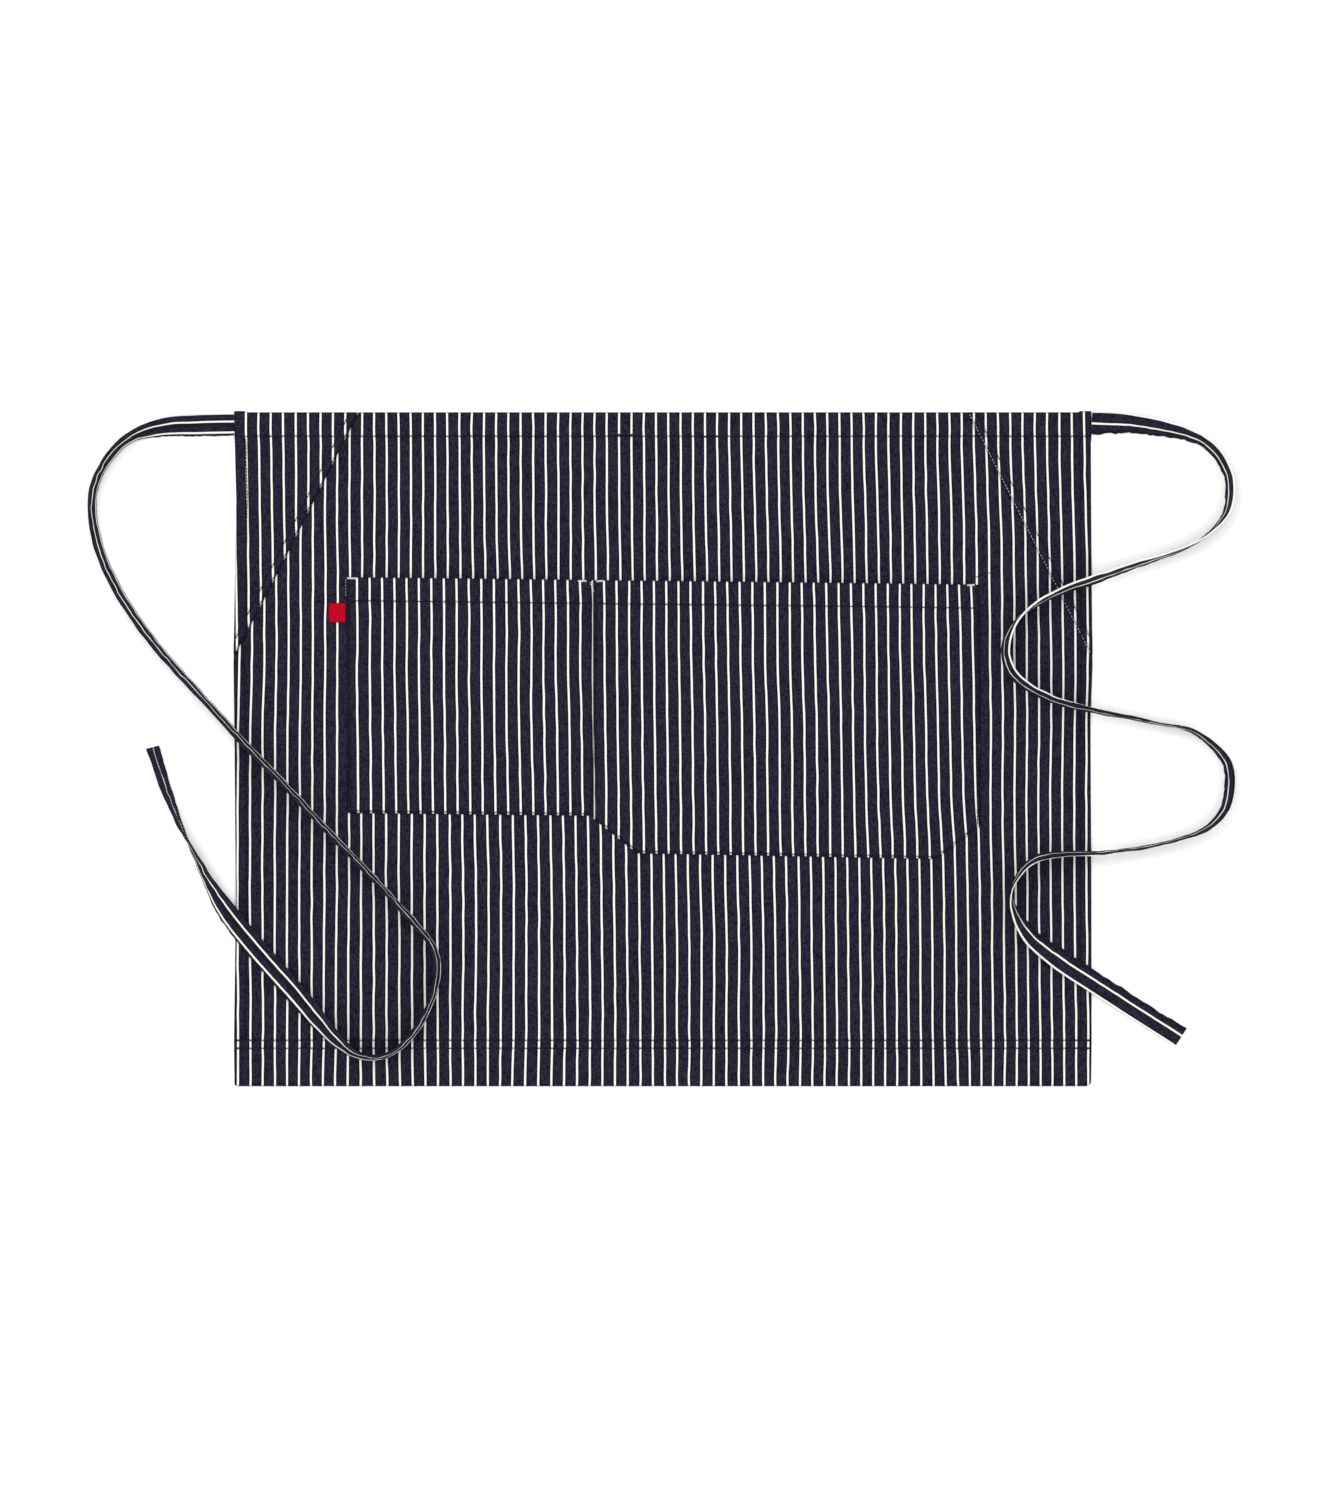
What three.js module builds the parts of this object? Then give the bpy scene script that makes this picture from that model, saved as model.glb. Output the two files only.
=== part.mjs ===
// A waist apron of striped cloth that lies face up on a flat surface.
// Millimetres. +X is the wearer's left as the apron faces the viewer, +Y points to the waist, +Z is up.
// The origin is under the middle of the apron's body, on the surface that it lies on.
import * as THREE from "three";

// Cloth
const CLOTH = 1.0; // one layer of cloth with its nap
const HEM_THICKNESS = 2.2; // a hem folded twice and pressed
const GAP = 0.3; // air between pieces that lie on each other
const STEP = 1.0; // width of the slope at the inner edge of a hem

// Body
const BODY_WIDTH = 813; // 32 in across
const BODY_LENGTH = 640; // from the waist to the bottom edge
const WAIST_HEM = 22.8;
const BOTTOM_HEM = 43.7;
const SIDE_HEM = 10.5;

// Pieced upper corners
const CORNER_ALONG_WAIST = 117.5;
const CORNER_DOWN_SIDE = 233;
const CORNER_LAP = 8.5; // how far a corner laps over the main panel, square to its fold
const CORNER_RISE = 3; // width of the slope where a corner climbs onto the main panel
const CORNER_TIP = 1.5; // width of its blunt lower end
const LEAST_SHARE = 0.03; // the least share of its width that a strip of it keeps near that end

// Pockets
const POCKET_FROM_SIDE = 105.9;
const POCKET_FROM_WAIST = 156.8; // at the left end of the mouths
const POCKET_MOUTH_FALL = 7; // how much lower the mouths lie at the right end
const POCKET_FROM_BOTTOM = 222; // from the bottom edge up to the large pocket
const POCKET_DIVIDER_LEFT = 66; // the seam between the pockets, left of the middle
const POCKET_HEM = 22.3;
const SMALL_POCKET_SHORTER = 37.5; // than the large one
const SMALL_POCKET_TAPER = 3.8; // its outer edge leans in by this much at the bottom
const LARGE_CORNER_ACROSS = 41; // the slanted bottom corners of the large pocket
const LARGE_CORNER_UP = 32;
const POCKET_SLACK = 6.5; // how far a pocket stands off the panel at its mouth

// Label
const TAG_WIDTH = 15.8;
const TAG_HEIGHT = 18.2;
const TAG_THICKNESS = 1.2;
const TAG_BELOW_MOUTH = 24.5;

// Ties
const TIE_WIDTH = 20;
const TIE_THICKNESS = 2;
const TIE_STEPS_PER_POINT = 2;

// Where the ties lie on the body they clear a hem and the lap of a corner.
const TIE_OVER_BODY = Math.max(HEM_THICKNESS, 2 * CLOTH + GAP);

// Routes of the ties, chosen by hand. out: beyond the side edge of the body; down: below the
// waist edge; tilt: turn about the way of travel in degrees, 0 with the front face up, positive
// with the edge on the left of travel raised; over: 0 on the surface, 1 on the body.
const LEFT_TIE = [
  { out: 0.5, down: 12, tilt: 0, over: 0 },
  { out: 38, down: 13, tilt: -16, over: 0 },
  { out: 60, down: 14, tilt: -32, over: 0 },
  { out: 77, down: 17, tilt: -50, over: 0 },
  { out: 93, down: 22, tilt: -67, over: 0 },
  { out: 108, down: 32, tilt: -75, over: 0 },
  { out: 120, down: 46, tilt: -78, over: 0 },
  { out: 129, down: 62, tilt: -79, over: 0 },
  { out: 134, down: 80, tilt: -79, over: 0 },
  { out: 134, down: 99, tilt: -77, over: 0 },
  { out: 130, down: 121, tilt: -74, over: 0 },
  { out: 120, down: 150, tilt: -73, over: 0 },
  { out: 103, down: 181, tilt: -73, over: 0 },
  { out: 80, down: 214, tilt: -73, over: 0 },
  { out: 55, down: 244, tilt: -75, over: 0 },
  { out: 26, down: 275, tilt: -79, over: 0.5 },
  { out: -7, down: 311, tilt: -79, over: 1 },
  { out: -44, down: 349, tilt: -79, over: 1 },
  { out: -82, down: 390, tilt: -80, over: 1 },
  { out: -119, down: 428, tilt: -80, over: 1 },
  { out: -150, down: 461, tilt: -81, over: 1 },
  { out: -176, down: 490, tilt: -80, over: 1 },
  { out: -190, down: 510, tilt: -78, over: 1 },
  { out: -193, down: 530, tilt: -78, over: 1 },
  { out: -188, down: 555, tilt: -78, over: 1 },
  { out: -177, down: 579, tilt: -76, over: 1 },
  { out: -161, down: 599, tilt: -76, over: 1 },
  { out: -141, down: 611, tilt: -76, over: 1 },
  { out: -120, down: 610, tilt: -70, over: 1 },
  { out: -101, down: 599, tilt: -50, over: 1 },
  { out: -80, down: 577, tilt: -25, over: 1 },
  { out: -56, down: 549, tilt: -6, over: 1 },
  { out: -28, down: 518, tilt: 0, over: 1 },
  { out: -4, down: 489, tilt: -4, over: 1 },
  { out: 10, down: 469, tilt: -24, over: 1 },
  { out: 23, down: 447, tilt: -54, over: 0.6 },
  { out: 38, down: 418, tilt: -76, over: 0 },
  { out: 51, down: 392, tilt: -94, over: 0 },
  { out: 64, down: 358, tilt: -110, over: 0 },
  { out: 77, down: 318, tilt: -118, over: 0 },
];
const RIGHT_TIE = [
  { out: 0.5, down: 10.5, tilt: 6, over: 0 },
  { out: 41, down: 12, tilt: 36, over: 0 },
  { out: 85, down: 20, tilt: 60, over: 0 },
  { out: 105, down: 28, tilt: 70, over: 0 },
  { out: 120, down: 42, tilt: 73, over: 0 },
  { out: 129, down: 60, tilt: 73, over: 0 },
  { out: 131, down: 79, tilt: 73, over: 0 },
  { out: 127, down: 97, tilt: 79, over: 0 },
  { out: 113, down: 114, tilt: 88, over: 0 },
  { out: 91, down: 128, tilt: 95, over: 0 },
  { out: 64, down: 138, tilt: 99, over: 0 },
  { out: 34, down: 148, tilt: 105, over: 0.4 },
  { out: 3, down: 159, tilt: 111, over: 1 },
  { out: -26, down: 169, tilt: 109, over: 1 },
  { out: -50, down: 181, tilt: 102, over: 1 },
  { out: -69, down: 195, tilt: 90, over: 1 },
  { out: -80, down: 213, tilt: 78, over: 1 },
  { out: -82, down: 232, tilt: 73, over: 1 },
  { out: -75, down: 249, tilt: 72, over: 1 },
  { out: -56, down: 264, tilt: 74, over: 1 },
  { out: -29, down: 276, tilt: 76, over: 1 },
  { out: 0, down: 283, tilt: 80, over: 1 },
  { out: 31, down: 289, tilt: 84, over: 0.4 },
  { out: 62, down: 295, tilt: 87, over: 0 },
  { out: 92, down: 301, tilt: 85, over: 0 },
  { out: 113, down: 315, tilt: 78, over: 0 },
  { out: 128, down: 334, tilt: 68, over: 0 },
  { out: 130, down: 356, tilt: 62, over: 0 },
  { out: 124, down: 380, tilt: 72, over: 0 },
  { out: 106, down: 397, tilt: 82, over: 0 },
  { out: 78, down: 407, tilt: 86, over: 0 },
  { out: 46, down: 414, tilt: 87, over: 0.1 },
  { out: 12, down: 418, tilt: 84, over: 1 },
  { out: -56, down: 425, tilt: 78, over: 1 },
  { out: -77, down: 456, tilt: 96, over: 1 },
  { out: -71, down: 479, tilt: 118, over: 1 },
  { out: -57, down: 499, tilt: 142, over: 1 },
  { out: -33, down: 518, tilt: 164, over: 1 },
  { out: -4, down: 537, tilt: 174, over: 1 },
  { out: 85, down: 594, tilt: 180, over: 0 },
];

// Low ripples where the cloth stands off the surface. Places and half sizes are shares of half
// the body's width and length, height is a share of what a hem adds to one layer of cloth.
const RIPPLES = [
  { x: -0.42, y: -0.62, halfWidth: 0.075, halfLength: 0.22, turn: 6, height: 0.85 },
  { x: -0.16, y: -0.6, halfWidth: 0.06, halfLength: 0.22, turn: -4, height: 0.7 },
  { x: 0.12, y: -0.64, halfWidth: 0.08, halfLength: 0.18, turn: 3, height: 0.9 },
  { x: 0.4, y: -0.64, halfWidth: 0.06, halfLength: 0.18, turn: -5, height: 0.75 },
  { x: 0.64, y: -0.62, halfWidth: 0.07, halfLength: 0.2, turn: 8, height: 0.9 },
  { x: -0.85, y: -0.2, halfWidth: 0.06, halfLength: 0.3, turn: -3, height: 0.8 },
  { x: 0.86, y: -0.3, halfWidth: 0.06, halfLength: 0.3, turn: 4, height: 0.8 },
  { x: -0.45, y: 0.71, halfWidth: 0.07, halfLength: 0.15, turn: 10, height: 0.7 },
  { x: -0.1, y: 0.72, halfWidth: 0.06, halfLength: 0.15, turn: -8, height: 0.8 },
  { x: 0.22, y: 0.71, halfWidth: 0.07, halfLength: 0.15, turn: 6, height: 0.7 },
  { x: 0.5, y: 0.7, halfWidth: 0.06, halfLength: 0.15, turn: -12, height: 0.8 },
];

const HALF_WIDTH = BODY_WIDTH / 2;
const HALF_LENGTH = BODY_LENGTH / 2;
const CORNER_FOLD = Math.hypot(CORNER_ALONG_WAIST, CORNER_DOWN_SIDE);
const LAP_ACROSS = (CORNER_LAP * CORNER_FOLD) / CORNER_DOWN_SIDE;
const RISE_ACROSS = (CORNER_RISE * CORNER_FOLD) / CORNER_DOWN_SIDE;
const LAP_DOWN = (CORNER_LAP * CORNER_FOLD) / CORNER_ALONG_WAIST;

// 0 at one end of a slope, 1 at the other
function slope(value, from, to) {
  return THREE.MathUtils.clamp((value - from) / (to - from), 0, 1);
}

// How far the fold of a corner panel lies in from the side edge, at a distance below the waist
function foldInset(down) {
  return CORNER_ALONG_WAIST * Math.max(0, 1 - down / CORNER_DOWN_SIDE);
}

// How far a place on the body lies from the fold of the nearer corner panel, positive on its side
function beyondFold(x, y) {
  const inset = HALF_WIDTH - Math.abs(x);
  const down = HALF_LENGTH - y;
  const across = CORNER_ALONG_WAIST * (1 - down / CORNER_DOWN_SIDE) - inset;
  return (across * CORNER_DOWN_SIDE) / CORNER_FOLD;
}

// Height of the ripples at a place on the body
function ripple(x, y) {
  let height = 0;
  for (const row of RIPPLES) {
    const turn = THREE.MathUtils.degToRad(row.turn);
    const dx = x - row.x * HALF_WIDTH;
    const dy = y - row.y * HALF_LENGTH;
    const across = (dx * Math.cos(turn) + dy * Math.sin(turn)) / (row.halfWidth * HALF_WIDTH);
    const along = (dy * Math.cos(turn) - dx * Math.sin(turn)) / (row.halfLength * HALF_LENGTH);
    if (Math.abs(across) >= 1 || Math.abs(along) >= 1) continue;
    const crest = Math.cos((across * Math.PI) / 2) * Math.cos((along * Math.PI) / 2);
    height = Math.max(height, row.height * crest * crest);
  }
  return height * (HEM_THICKNESS - CLOTH);
}

// Numbers from one value to another in equal steps, both ends included
function spread(from, to, steps) {
  return Array.from({ length: steps + 1 }, (_, i) => from + ((to - from) * i) / steps);
}

// Thickness at a place on the body, where side hems stay off the pieced corners
function bodyThickness(x, y, hasSideHem) {
  const down = HALF_LENGTH - y;
  const waist = slope(down, WAIST_HEM + STEP, WAIST_HEM);
  const bottom = slope(down, BODY_LENGTH - BOTTOM_HEM - STEP, BODY_LENGTH - BOTTOM_HEM);
  const side = hasSideHem ? slope(HALF_WIDTH - Math.abs(x), SIDE_HEM + STEP, SIDE_HEM) : 0;
  return CLOTH + (HEM_THICKNESS - CLOTH) * Math.max(waist, bottom, side);
}

// A closed slab over rows of stations { x, y, low, high }, from the waist down and left to right
function slab(rows) {
  const columns = rows[0].length;
  const positions = [];
  for (const row of rows) {
    for (const station of row) {
      positions.push(station.x, station.y, station.low);
      positions.push(station.x, station.y, station.high);
    }
  }
  const low = (i, j) => 2 * (i * columns + j);
  const high = (i, j) => low(i, j) + 1;
  const faces = [];
  for (let i = 0; i + 1 < rows.length; i++) {
    for (let j = 0; j + 1 < columns; j++) {
      faces.push(high(i, j), high(i + 1, j), high(i + 1, j + 1));
      faces.push(high(i, j), high(i + 1, j + 1), high(i, j + 1));
      faces.push(low(i, j), low(i + 1, j + 1), low(i + 1, j));
      faces.push(low(i, j), low(i, j + 1), low(i + 1, j + 1));
    }
  }
  const last = rows.length - 1;
  const rim = [];
  for (let i = 0; i < last; i++) rim.push([i, 0]);
  for (let j = 0; j < columns - 1; j++) rim.push([last, j]);
  for (let i = last; i > 0; i--) rim.push([i, columns - 1]);
  for (let j = columns - 1; j > 0; j--) rim.push([0, j]);
  rim.forEach((from, k) => {
    const to = rim[(k + 1) % rim.length];
    faces.push(low(...from), low(...to), high(...to));
    faces.push(low(...from), high(...to), high(...from));
  });
  const geometry = new THREE.BufferGeometry();
  geometry.setAttribute("position", new THREE.Float32BufferAttribute(positions, 3));
  geometry.setIndex(faces);
  geometry.computeVertexNormals();
  return geometry;
}

// The main panel: its upper corners end on a slant under the corner panels.
function mainPanel() {
  const lapEnd = CORNER_DOWN_SIDE - LAP_DOWN;
  const hemStart = CORNER_DOWN_SIDE + STEP;
  const bottomStart = BODY_LENGTH - BOTTOM_HEM - STEP;
  const downs = [
    0,
    WAIST_HEM,
    ...spread(WAIST_HEM + STEP, lapEnd, 8),
    CORNER_DOWN_SIDE,
    ...spread(hemStart, bottomStart, 14),
    BODY_LENGTH - BOTTOM_HEM,
    BODY_LENGTH,
  ];
  const rows = downs.map((down) => {
    const edge = HALF_WIDTH - Math.max(0, foldInset(down) - LAP_ACROSS);
    const inner = edge - SIDE_HEM - STEP;
    const xs = [-edge, -edge + LAP_ACROSS, -edge + SIDE_HEM, ...spread(-inner, inner, 26)];
    xs.push(edge - SIDE_HEM, edge - LAP_ACROSS, edge);
    const y = HALF_LENGTH - down;
    return xs.map((x) => {
      const underCorner = beyondFold(x, y) > -1e-6;
      const thickness = underCorner ? CLOTH : bodyThickness(x, y, down >= hemStart);
      const low = ripple(x, y);
      return { x, y, low, high: low + thickness };
    });
  });
  return slab(rows);
}

// A corner panel on the left: it lies on the surface and climbs onto the main panel at its fold.
function cornerPanelRows() {
  const tip = CORNER_DOWN_SIDE * (1 - CORNER_TIP / CORNER_ALONG_WAIST);
  const lapEnd = CORNER_DOWN_SIDE - LAP_DOWN;
  const riseEnd = CORNER_DOWN_SIDE * (1 - (1.3 * (LAP_ACROSS + RISE_ACROSS)) / CORNER_ALONG_WAIST);
  const downs = [0, WAIST_HEM, ...spread(WAIST_HEM + STEP, riseEnd, 6), lapEnd, tip];
  return downs.map((down) => {
    const y = HALF_LENGTH - down;
    const width = foldInset(down);
    const riseStart = Math.max(width - LAP_ACROSS - RISE_ACROSS, LEAST_SHARE * width);
    const lapStart = Math.max(width - LAP_ACROSS, 2 * LEAST_SHARE * width);
    const hem = Math.min(SIDE_HEM, 0.4 * riseStart);
    const hemEnd = Math.min(SIDE_HEM + STEP, 0.7 * riseStart);
    const insets = [0, hem, ...spread(hemEnd, riseStart, 4), lapStart, width];
    return insets.map((inset) => {
      const x = inset - HALF_WIDTH;
      const beyond = beyondFold(x, y);
      const low = (CLOTH + GAP) * slope(beyond, CORNER_LAP + CORNER_RISE, CORNER_LAP);
      const onSurface = beyond > CORNER_LAP + CORNER_RISE - 1e-6;
      const thickness = onSurface ? bodyThickness(x, y, true) : CLOTH;
      return { x, y, low, high: low + thickness };
    });
  });
}

function cornerPanelLeft() {
  return slab(cornerPanelRows());
}

function cornerPanelRight() {
  const mirrored = cornerPanelRows().map((row) =>
    row.map((station) => ({ ...station, x: -station.x })).reverse(),
  );
  return slab(mirrored);
}

// Where the pockets lie
const POCKET_LEFT = -HALF_WIDTH + POCKET_FROM_SIDE;
const POCKET_RIGHT = HALF_WIDTH - POCKET_FROM_SIDE;
const DIVIDER = -POCKET_DIVIDER_LEFT;

function mouthY(x) {
  const share = (x - POCKET_LEFT) / (POCKET_RIGHT - POCKET_LEFT);
  return HALF_LENGTH - POCKET_FROM_WAIST - POCKET_MOUTH_FALL * share;
}

// A patch pocket between two edges: closed where it is sewn down, standing off at its mouth
function pocketSlab(left, right, bottomY, columns) {
  const depthSteps = 9;
  const shares = columns.map((x) => (x - left) / (right - left));
  const lines = columns.map((x) => {
    const mouth = mouthY(x);
    const bottom = bottomY(x);
    return [mouth, mouth - POCKET_HEM, ...spread(mouth - POCKET_HEM - STEP, bottom, depthSteps)];
  });
  const rows = lines[0].map((_, i) =>
    columns.map((x, j) => {
      const y = lines[j][i];
      const depth = slope(y, bottomY(x), mouthY(x));
      const across = 1 - Math.pow(2 * shares[j] - 1, 4);
      const lift = POCKET_SLACK * across * Math.pow(Math.sin((depth * Math.PI) / 2), 0.7);
      const low = CLOTH + GAP + lift;
      const thickness = i < 2 ? HEM_THICKNESS : CLOTH;
      return { x, y, low, high: low + thickness };
    }),
  );
  return slab(rows);
}

// The small pocket: its outer edge leans in towards the bottom.
function smallPocket() {
  const right = DIVIDER - GAP / 2;
  const bottom = (x) => mouthY(x) - (mouthY(POCKET_LEFT) - pocketBottom() - SMALL_POCKET_SHORTER);
  const geometry = pocketSlab(POCKET_LEFT, right, bottom, spread(POCKET_LEFT, right, 12));
  const position = geometry.getAttribute("position");
  const depth = mouthY(POCKET_LEFT) - bottom(POCKET_LEFT);
  for (let i = 0; i < position.count; i++) {
    const fromDivider = (right - position.getX(i)) / (right - POCKET_LEFT);
    const below = (mouthY(position.getX(i)) - position.getY(i)) / depth;
    position.setX(i, position.getX(i) + SMALL_POCKET_TAPER * fromDivider * below);
  }
  geometry.computeVertexNormals();
  return geometry;
}

function pocketBottom() {
  return -HALF_LENGTH + POCKET_FROM_BOTTOM;
}

// The large pocket: both bottom corners are cut off on a slant.
function largePocket() {
  const left = DIVIDER + GAP / 2;
  const bottom = (x) => {
    const fromEdge = Math.min(x - left, POCKET_RIGHT - x);
    const level = pocketBottom() - POCKET_MOUTH_FALL * ((x - left) / (POCKET_RIGHT - left));
    return level + LARGE_CORNER_UP * Math.max(0, 1 - fromEdge / LARGE_CORNER_ACROSS);
  };
  const columns = [
    ...spread(left, left + LARGE_CORNER_ACROSS, 2),
    ...spread(left + LARGE_CORNER_ACROSS, POCKET_RIGHT - LARGE_CORNER_ACROSS, 10).slice(1),
    ...spread(POCKET_RIGHT - LARGE_CORNER_ACROSS, POCKET_RIGHT, 2).slice(1),
  ];
  return pocketSlab(left, POCKET_RIGHT, bottom, columns);
}

// The folded label beside the small pocket's outer edge
function tag() {
  const geometry = new THREE.BoxGeometry(TAG_WIDTH, TAG_HEIGHT, TAG_THICKNESS);
  const below = TAG_BELOW_MOUTH + TAG_HEIGHT / 2;
  const x = POCKET_LEFT - GAP - TAG_WIDTH / 2;
  const y = mouthY(POCKET_LEFT) - below;
  geometry.translate(x, y, CLOTH + GAP + TAG_THICKNESS / 2);
  return geometry;
}

// A tie: a flat strip that follows its route, turned by the tilt at each point
function tie(route, side) {
  const points = route.map(
    (row) => new THREE.Vector3(side * (HALF_WIDTH + row.out), HALF_LENGTH - row.down, 0),
  );
  const curve = new THREE.CatmullRomCurve3(points, false, "centripetal");
  const steps = (route.length - 1) * TIE_STEPS_PER_POINT;
  const up = new THREE.Vector3(0, 0, 1);
  const positions = [];
  for (let i = 0; i <= steps; i++) {
    const segment = Math.min(Math.floor(i / TIE_STEPS_PER_POINT), route.length - 2);
    const share = i / TIE_STEPS_PER_POINT - segment;
    const between = (name) =>
      THREE.MathUtils.lerp(route[segment][name], route[segment + 1][name], share);
    const tilt = THREE.MathUtils.degToRad(between("tilt"));
    const travel = curve.getTangent(i / steps);
    const leftward = new THREE.Vector3().crossVectors(up, travel).normalize();
    const across = leftward.clone().multiplyScalar(Math.cos(tilt)).addScaledVector(up, Math.sin(tilt));
    const front = up.clone().multiplyScalar(Math.cos(tilt)).addScaledVector(leftward, -Math.sin(tilt));
    const halfHeight = (TIE_WIDTH * Math.abs(Math.sin(tilt)) + TIE_THICKNESS * Math.abs(Math.cos(tilt))) / 2;
    const centre = curve.getPoint(i / steps);
    centre.z = GAP + TIE_OVER_BODY * between("over") + halfHeight;
    for (const [w, t] of [[-1, -1], [1, -1], [1, 1], [-1, 1]]) {
      const corner = centre.clone();
      corner.addScaledVector(across, (w * TIE_WIDTH) / 2);
      corner.addScaledVector(front, (t * TIE_THICKNESS) / 2);
      positions.push(...corner.toArray());
    }
  }
  const faces = [0, 3, 2, 0, 2, 1];
  for (let i = 0; i < steps; i++) {
    for (let k = 0; k < 4; k++) {
      const a = 4 * i + k;
      const b = 4 * i + ((k + 1) % 4);
      faces.push(a, b, b + 4, a, b + 4, a + 4);
    }
  }
  const end = 4 * steps;
  faces.push(end, end + 1, end + 2, end, end + 2, end + 3);
  const geometry = new THREE.BufferGeometry();
  geometry.setAttribute("position", new THREE.Float32BufferAttribute(positions, 3));
  geometry.setIndex(faces);
  geometry.computeVertexNormals();
  return geometry;
}

function cloth(color) {
  return new THREE.MeshStandardMaterial({ color, roughness: 0.92, metalness: 0 });
}

const NAVY = 0x2d2839;
const RED = 0xd7001e;

const apron = new THREE.Group();

function add(name, geometry, material) {
  const mesh = new THREE.Mesh(geometry, material);
  mesh.name = name;
  apron.add(mesh);
}

add("main_panel", mainPanel(), cloth(NAVY));
add("corner_panel_left", cornerPanelLeft(), cloth(NAVY));
add("corner_panel_right", cornerPanelRight(), cloth(NAVY));
add("pocket_small", smallPocket(), cloth(NAVY));
add("pocket_large", largePocket(), cloth(NAVY));
add("tie_left", tie(LEFT_TIE, -1), cloth(NAVY));
add("tie_right", tie(RIGHT_TIE, 1), cloth(NAVY));
add("tag", tag(), cloth(RED));

export default apron;
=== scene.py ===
import math

import bmesh
import bpy
import numpy as np
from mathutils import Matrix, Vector


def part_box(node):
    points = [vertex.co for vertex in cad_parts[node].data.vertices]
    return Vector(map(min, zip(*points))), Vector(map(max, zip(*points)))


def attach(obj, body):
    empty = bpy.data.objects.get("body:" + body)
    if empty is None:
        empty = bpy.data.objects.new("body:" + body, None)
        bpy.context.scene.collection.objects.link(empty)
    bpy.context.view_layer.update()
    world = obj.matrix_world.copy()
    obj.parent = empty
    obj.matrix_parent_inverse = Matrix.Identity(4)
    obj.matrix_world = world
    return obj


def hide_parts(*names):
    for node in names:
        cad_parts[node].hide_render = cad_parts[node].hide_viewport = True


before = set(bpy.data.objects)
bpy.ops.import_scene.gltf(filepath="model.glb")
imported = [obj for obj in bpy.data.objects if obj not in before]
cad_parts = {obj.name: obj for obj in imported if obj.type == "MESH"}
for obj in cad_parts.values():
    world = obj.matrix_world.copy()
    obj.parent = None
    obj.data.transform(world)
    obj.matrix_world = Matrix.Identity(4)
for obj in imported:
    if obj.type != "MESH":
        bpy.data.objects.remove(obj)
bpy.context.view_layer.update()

bl_info = {
    "name": "Waist apron",
    "version": (1, 0, 0),
    "blender": (4, 5, 0),
    "location": "3D Viewport > Sidebar > Apron",
    "description": "Dresses a striped cloth waist apron that lies face up",
    "category": "Object",
}

# Sizes in metres, from the frame where the frame has them
MM = 0.001
HALF_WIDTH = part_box("main_panel")[1][0]
HALF_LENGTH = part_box("main_panel")[1][1]
CLOTH = 1.0 * MM
HEM = 2.2 * MM
AIR = 0.12 * MM
WAIST_HEM = 22.8 * MM
BOTTOM_HEM = 43.7 * MM
BOTTOM_SECOND_ROW = 36.1 * MM
SIDE_HEM = 10.5 * MM
HEM_ALLOWANCE = 1.4 * MM
HEM_FADE = 9 * MM

CORNER_ALONG_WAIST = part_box("corner_panel_left")[1][0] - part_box("corner_panel_left")[0][0]
CORNER_DOWN_SIDE = 233 * MM
CORNER_FOLD = math.hypot(CORNER_ALONG_WAIST, CORNER_DOWN_SIDE)
CORNER_LAP = 8.5 * MM
CORNER_RISE = 3 * MM
CORNER_EDGE_ROW = 1.3 * MM
CORNER_SECOND_ROW = 7.4 * MM

POCKET_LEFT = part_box("pocket_small")[0][0]
POCKET_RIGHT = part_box("pocket_large")[1][0]
DIVIDER = (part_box("pocket_small")[1][0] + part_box("pocket_large")[0][0]) / 2
POCKET_FROM_WAIST = 156.8 * MM
POCKET_MOUTH_FALL = 7 * MM
POCKET_FROM_BOTTOM = 222 * MM
POCKET_HEM = 22.3 * MM
SMALL_POCKET_SHORTER = 37.5 * MM
SMALL_POCKET_TAPER = 1.6 * MM
LARGE_CORNER_ACROSS = 41 * MM
LARGE_CORNER_UP = 32 * MM
# On the slanted corners: distance from the edge as a share of the height above it, and the height
# of a stitch row as a multiple of its distance from the edge.
LARGE_SLANT_COSINE = 0.79
LARGE_SLANT_ROW = 1.27
POCKET_SLACK = 6.5 * MM
POCKET_EDGE_ROW = 2.1 * MM
POCKET_BASE = CLOTH + AIR
POCKET_GAP = 0.1 * MM

TIE_WIDTH = 20 * MM
TIE_THICKNESS = 2 * MM
TIE_OVER_BODY = 2 * CLOTH + 0.3 * MM
TIE_LIFT = 0.3 * MM
TIE_STITCH_CLEARANCE = 0.58 * MM
FLOOR_CLEARANCE = 0.02 * MM

FIRST_STRIPE = 286.8 * MM
STRIPE_PITCH = 11.65 * MM
STRIPE_WIDTH = 1.85 * MM
STITCH_PITCH = 3.1 * MM
SEAM_SHADE = 0.6

PHOTO_HEIGHT = 1500
PHOTO_PIXEL = 0.95 * MM

# Low ripples where the cloth stands off the surface. Places and half sizes are shares of half
# the body's width and length, height is a share of what a hem adds to one layer of cloth.
# Columns: x, y, half width, half length, turn in degrees, height.
RIPPLES = (
    (-0.42, -0.62, 0.075, 0.22, 6, 0.85),
    (-0.16, -0.60, 0.060, 0.22, -4, 0.70),
    (0.12, -0.64, 0.080, 0.18, 3, 0.90),
    (0.40, -0.64, 0.060, 0.18, -5, 0.75),
    (0.64, -0.62, 0.070, 0.20, 8, 0.90),
    (-0.85, -0.20, 0.060, 0.30, -3, 0.80),
    (0.86, -0.30, 0.060, 0.30, 4, 0.80),
    (-0.45, 0.71, 0.070, 0.15, 10, 0.70),
    (-0.10, 0.72, 0.060, 0.15, -8, 0.80),
    (0.22, 0.71, 0.070, 0.15, 6, 0.70),
    (0.50, 0.70, 0.060, 0.15, -12, 0.80),
)

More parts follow.
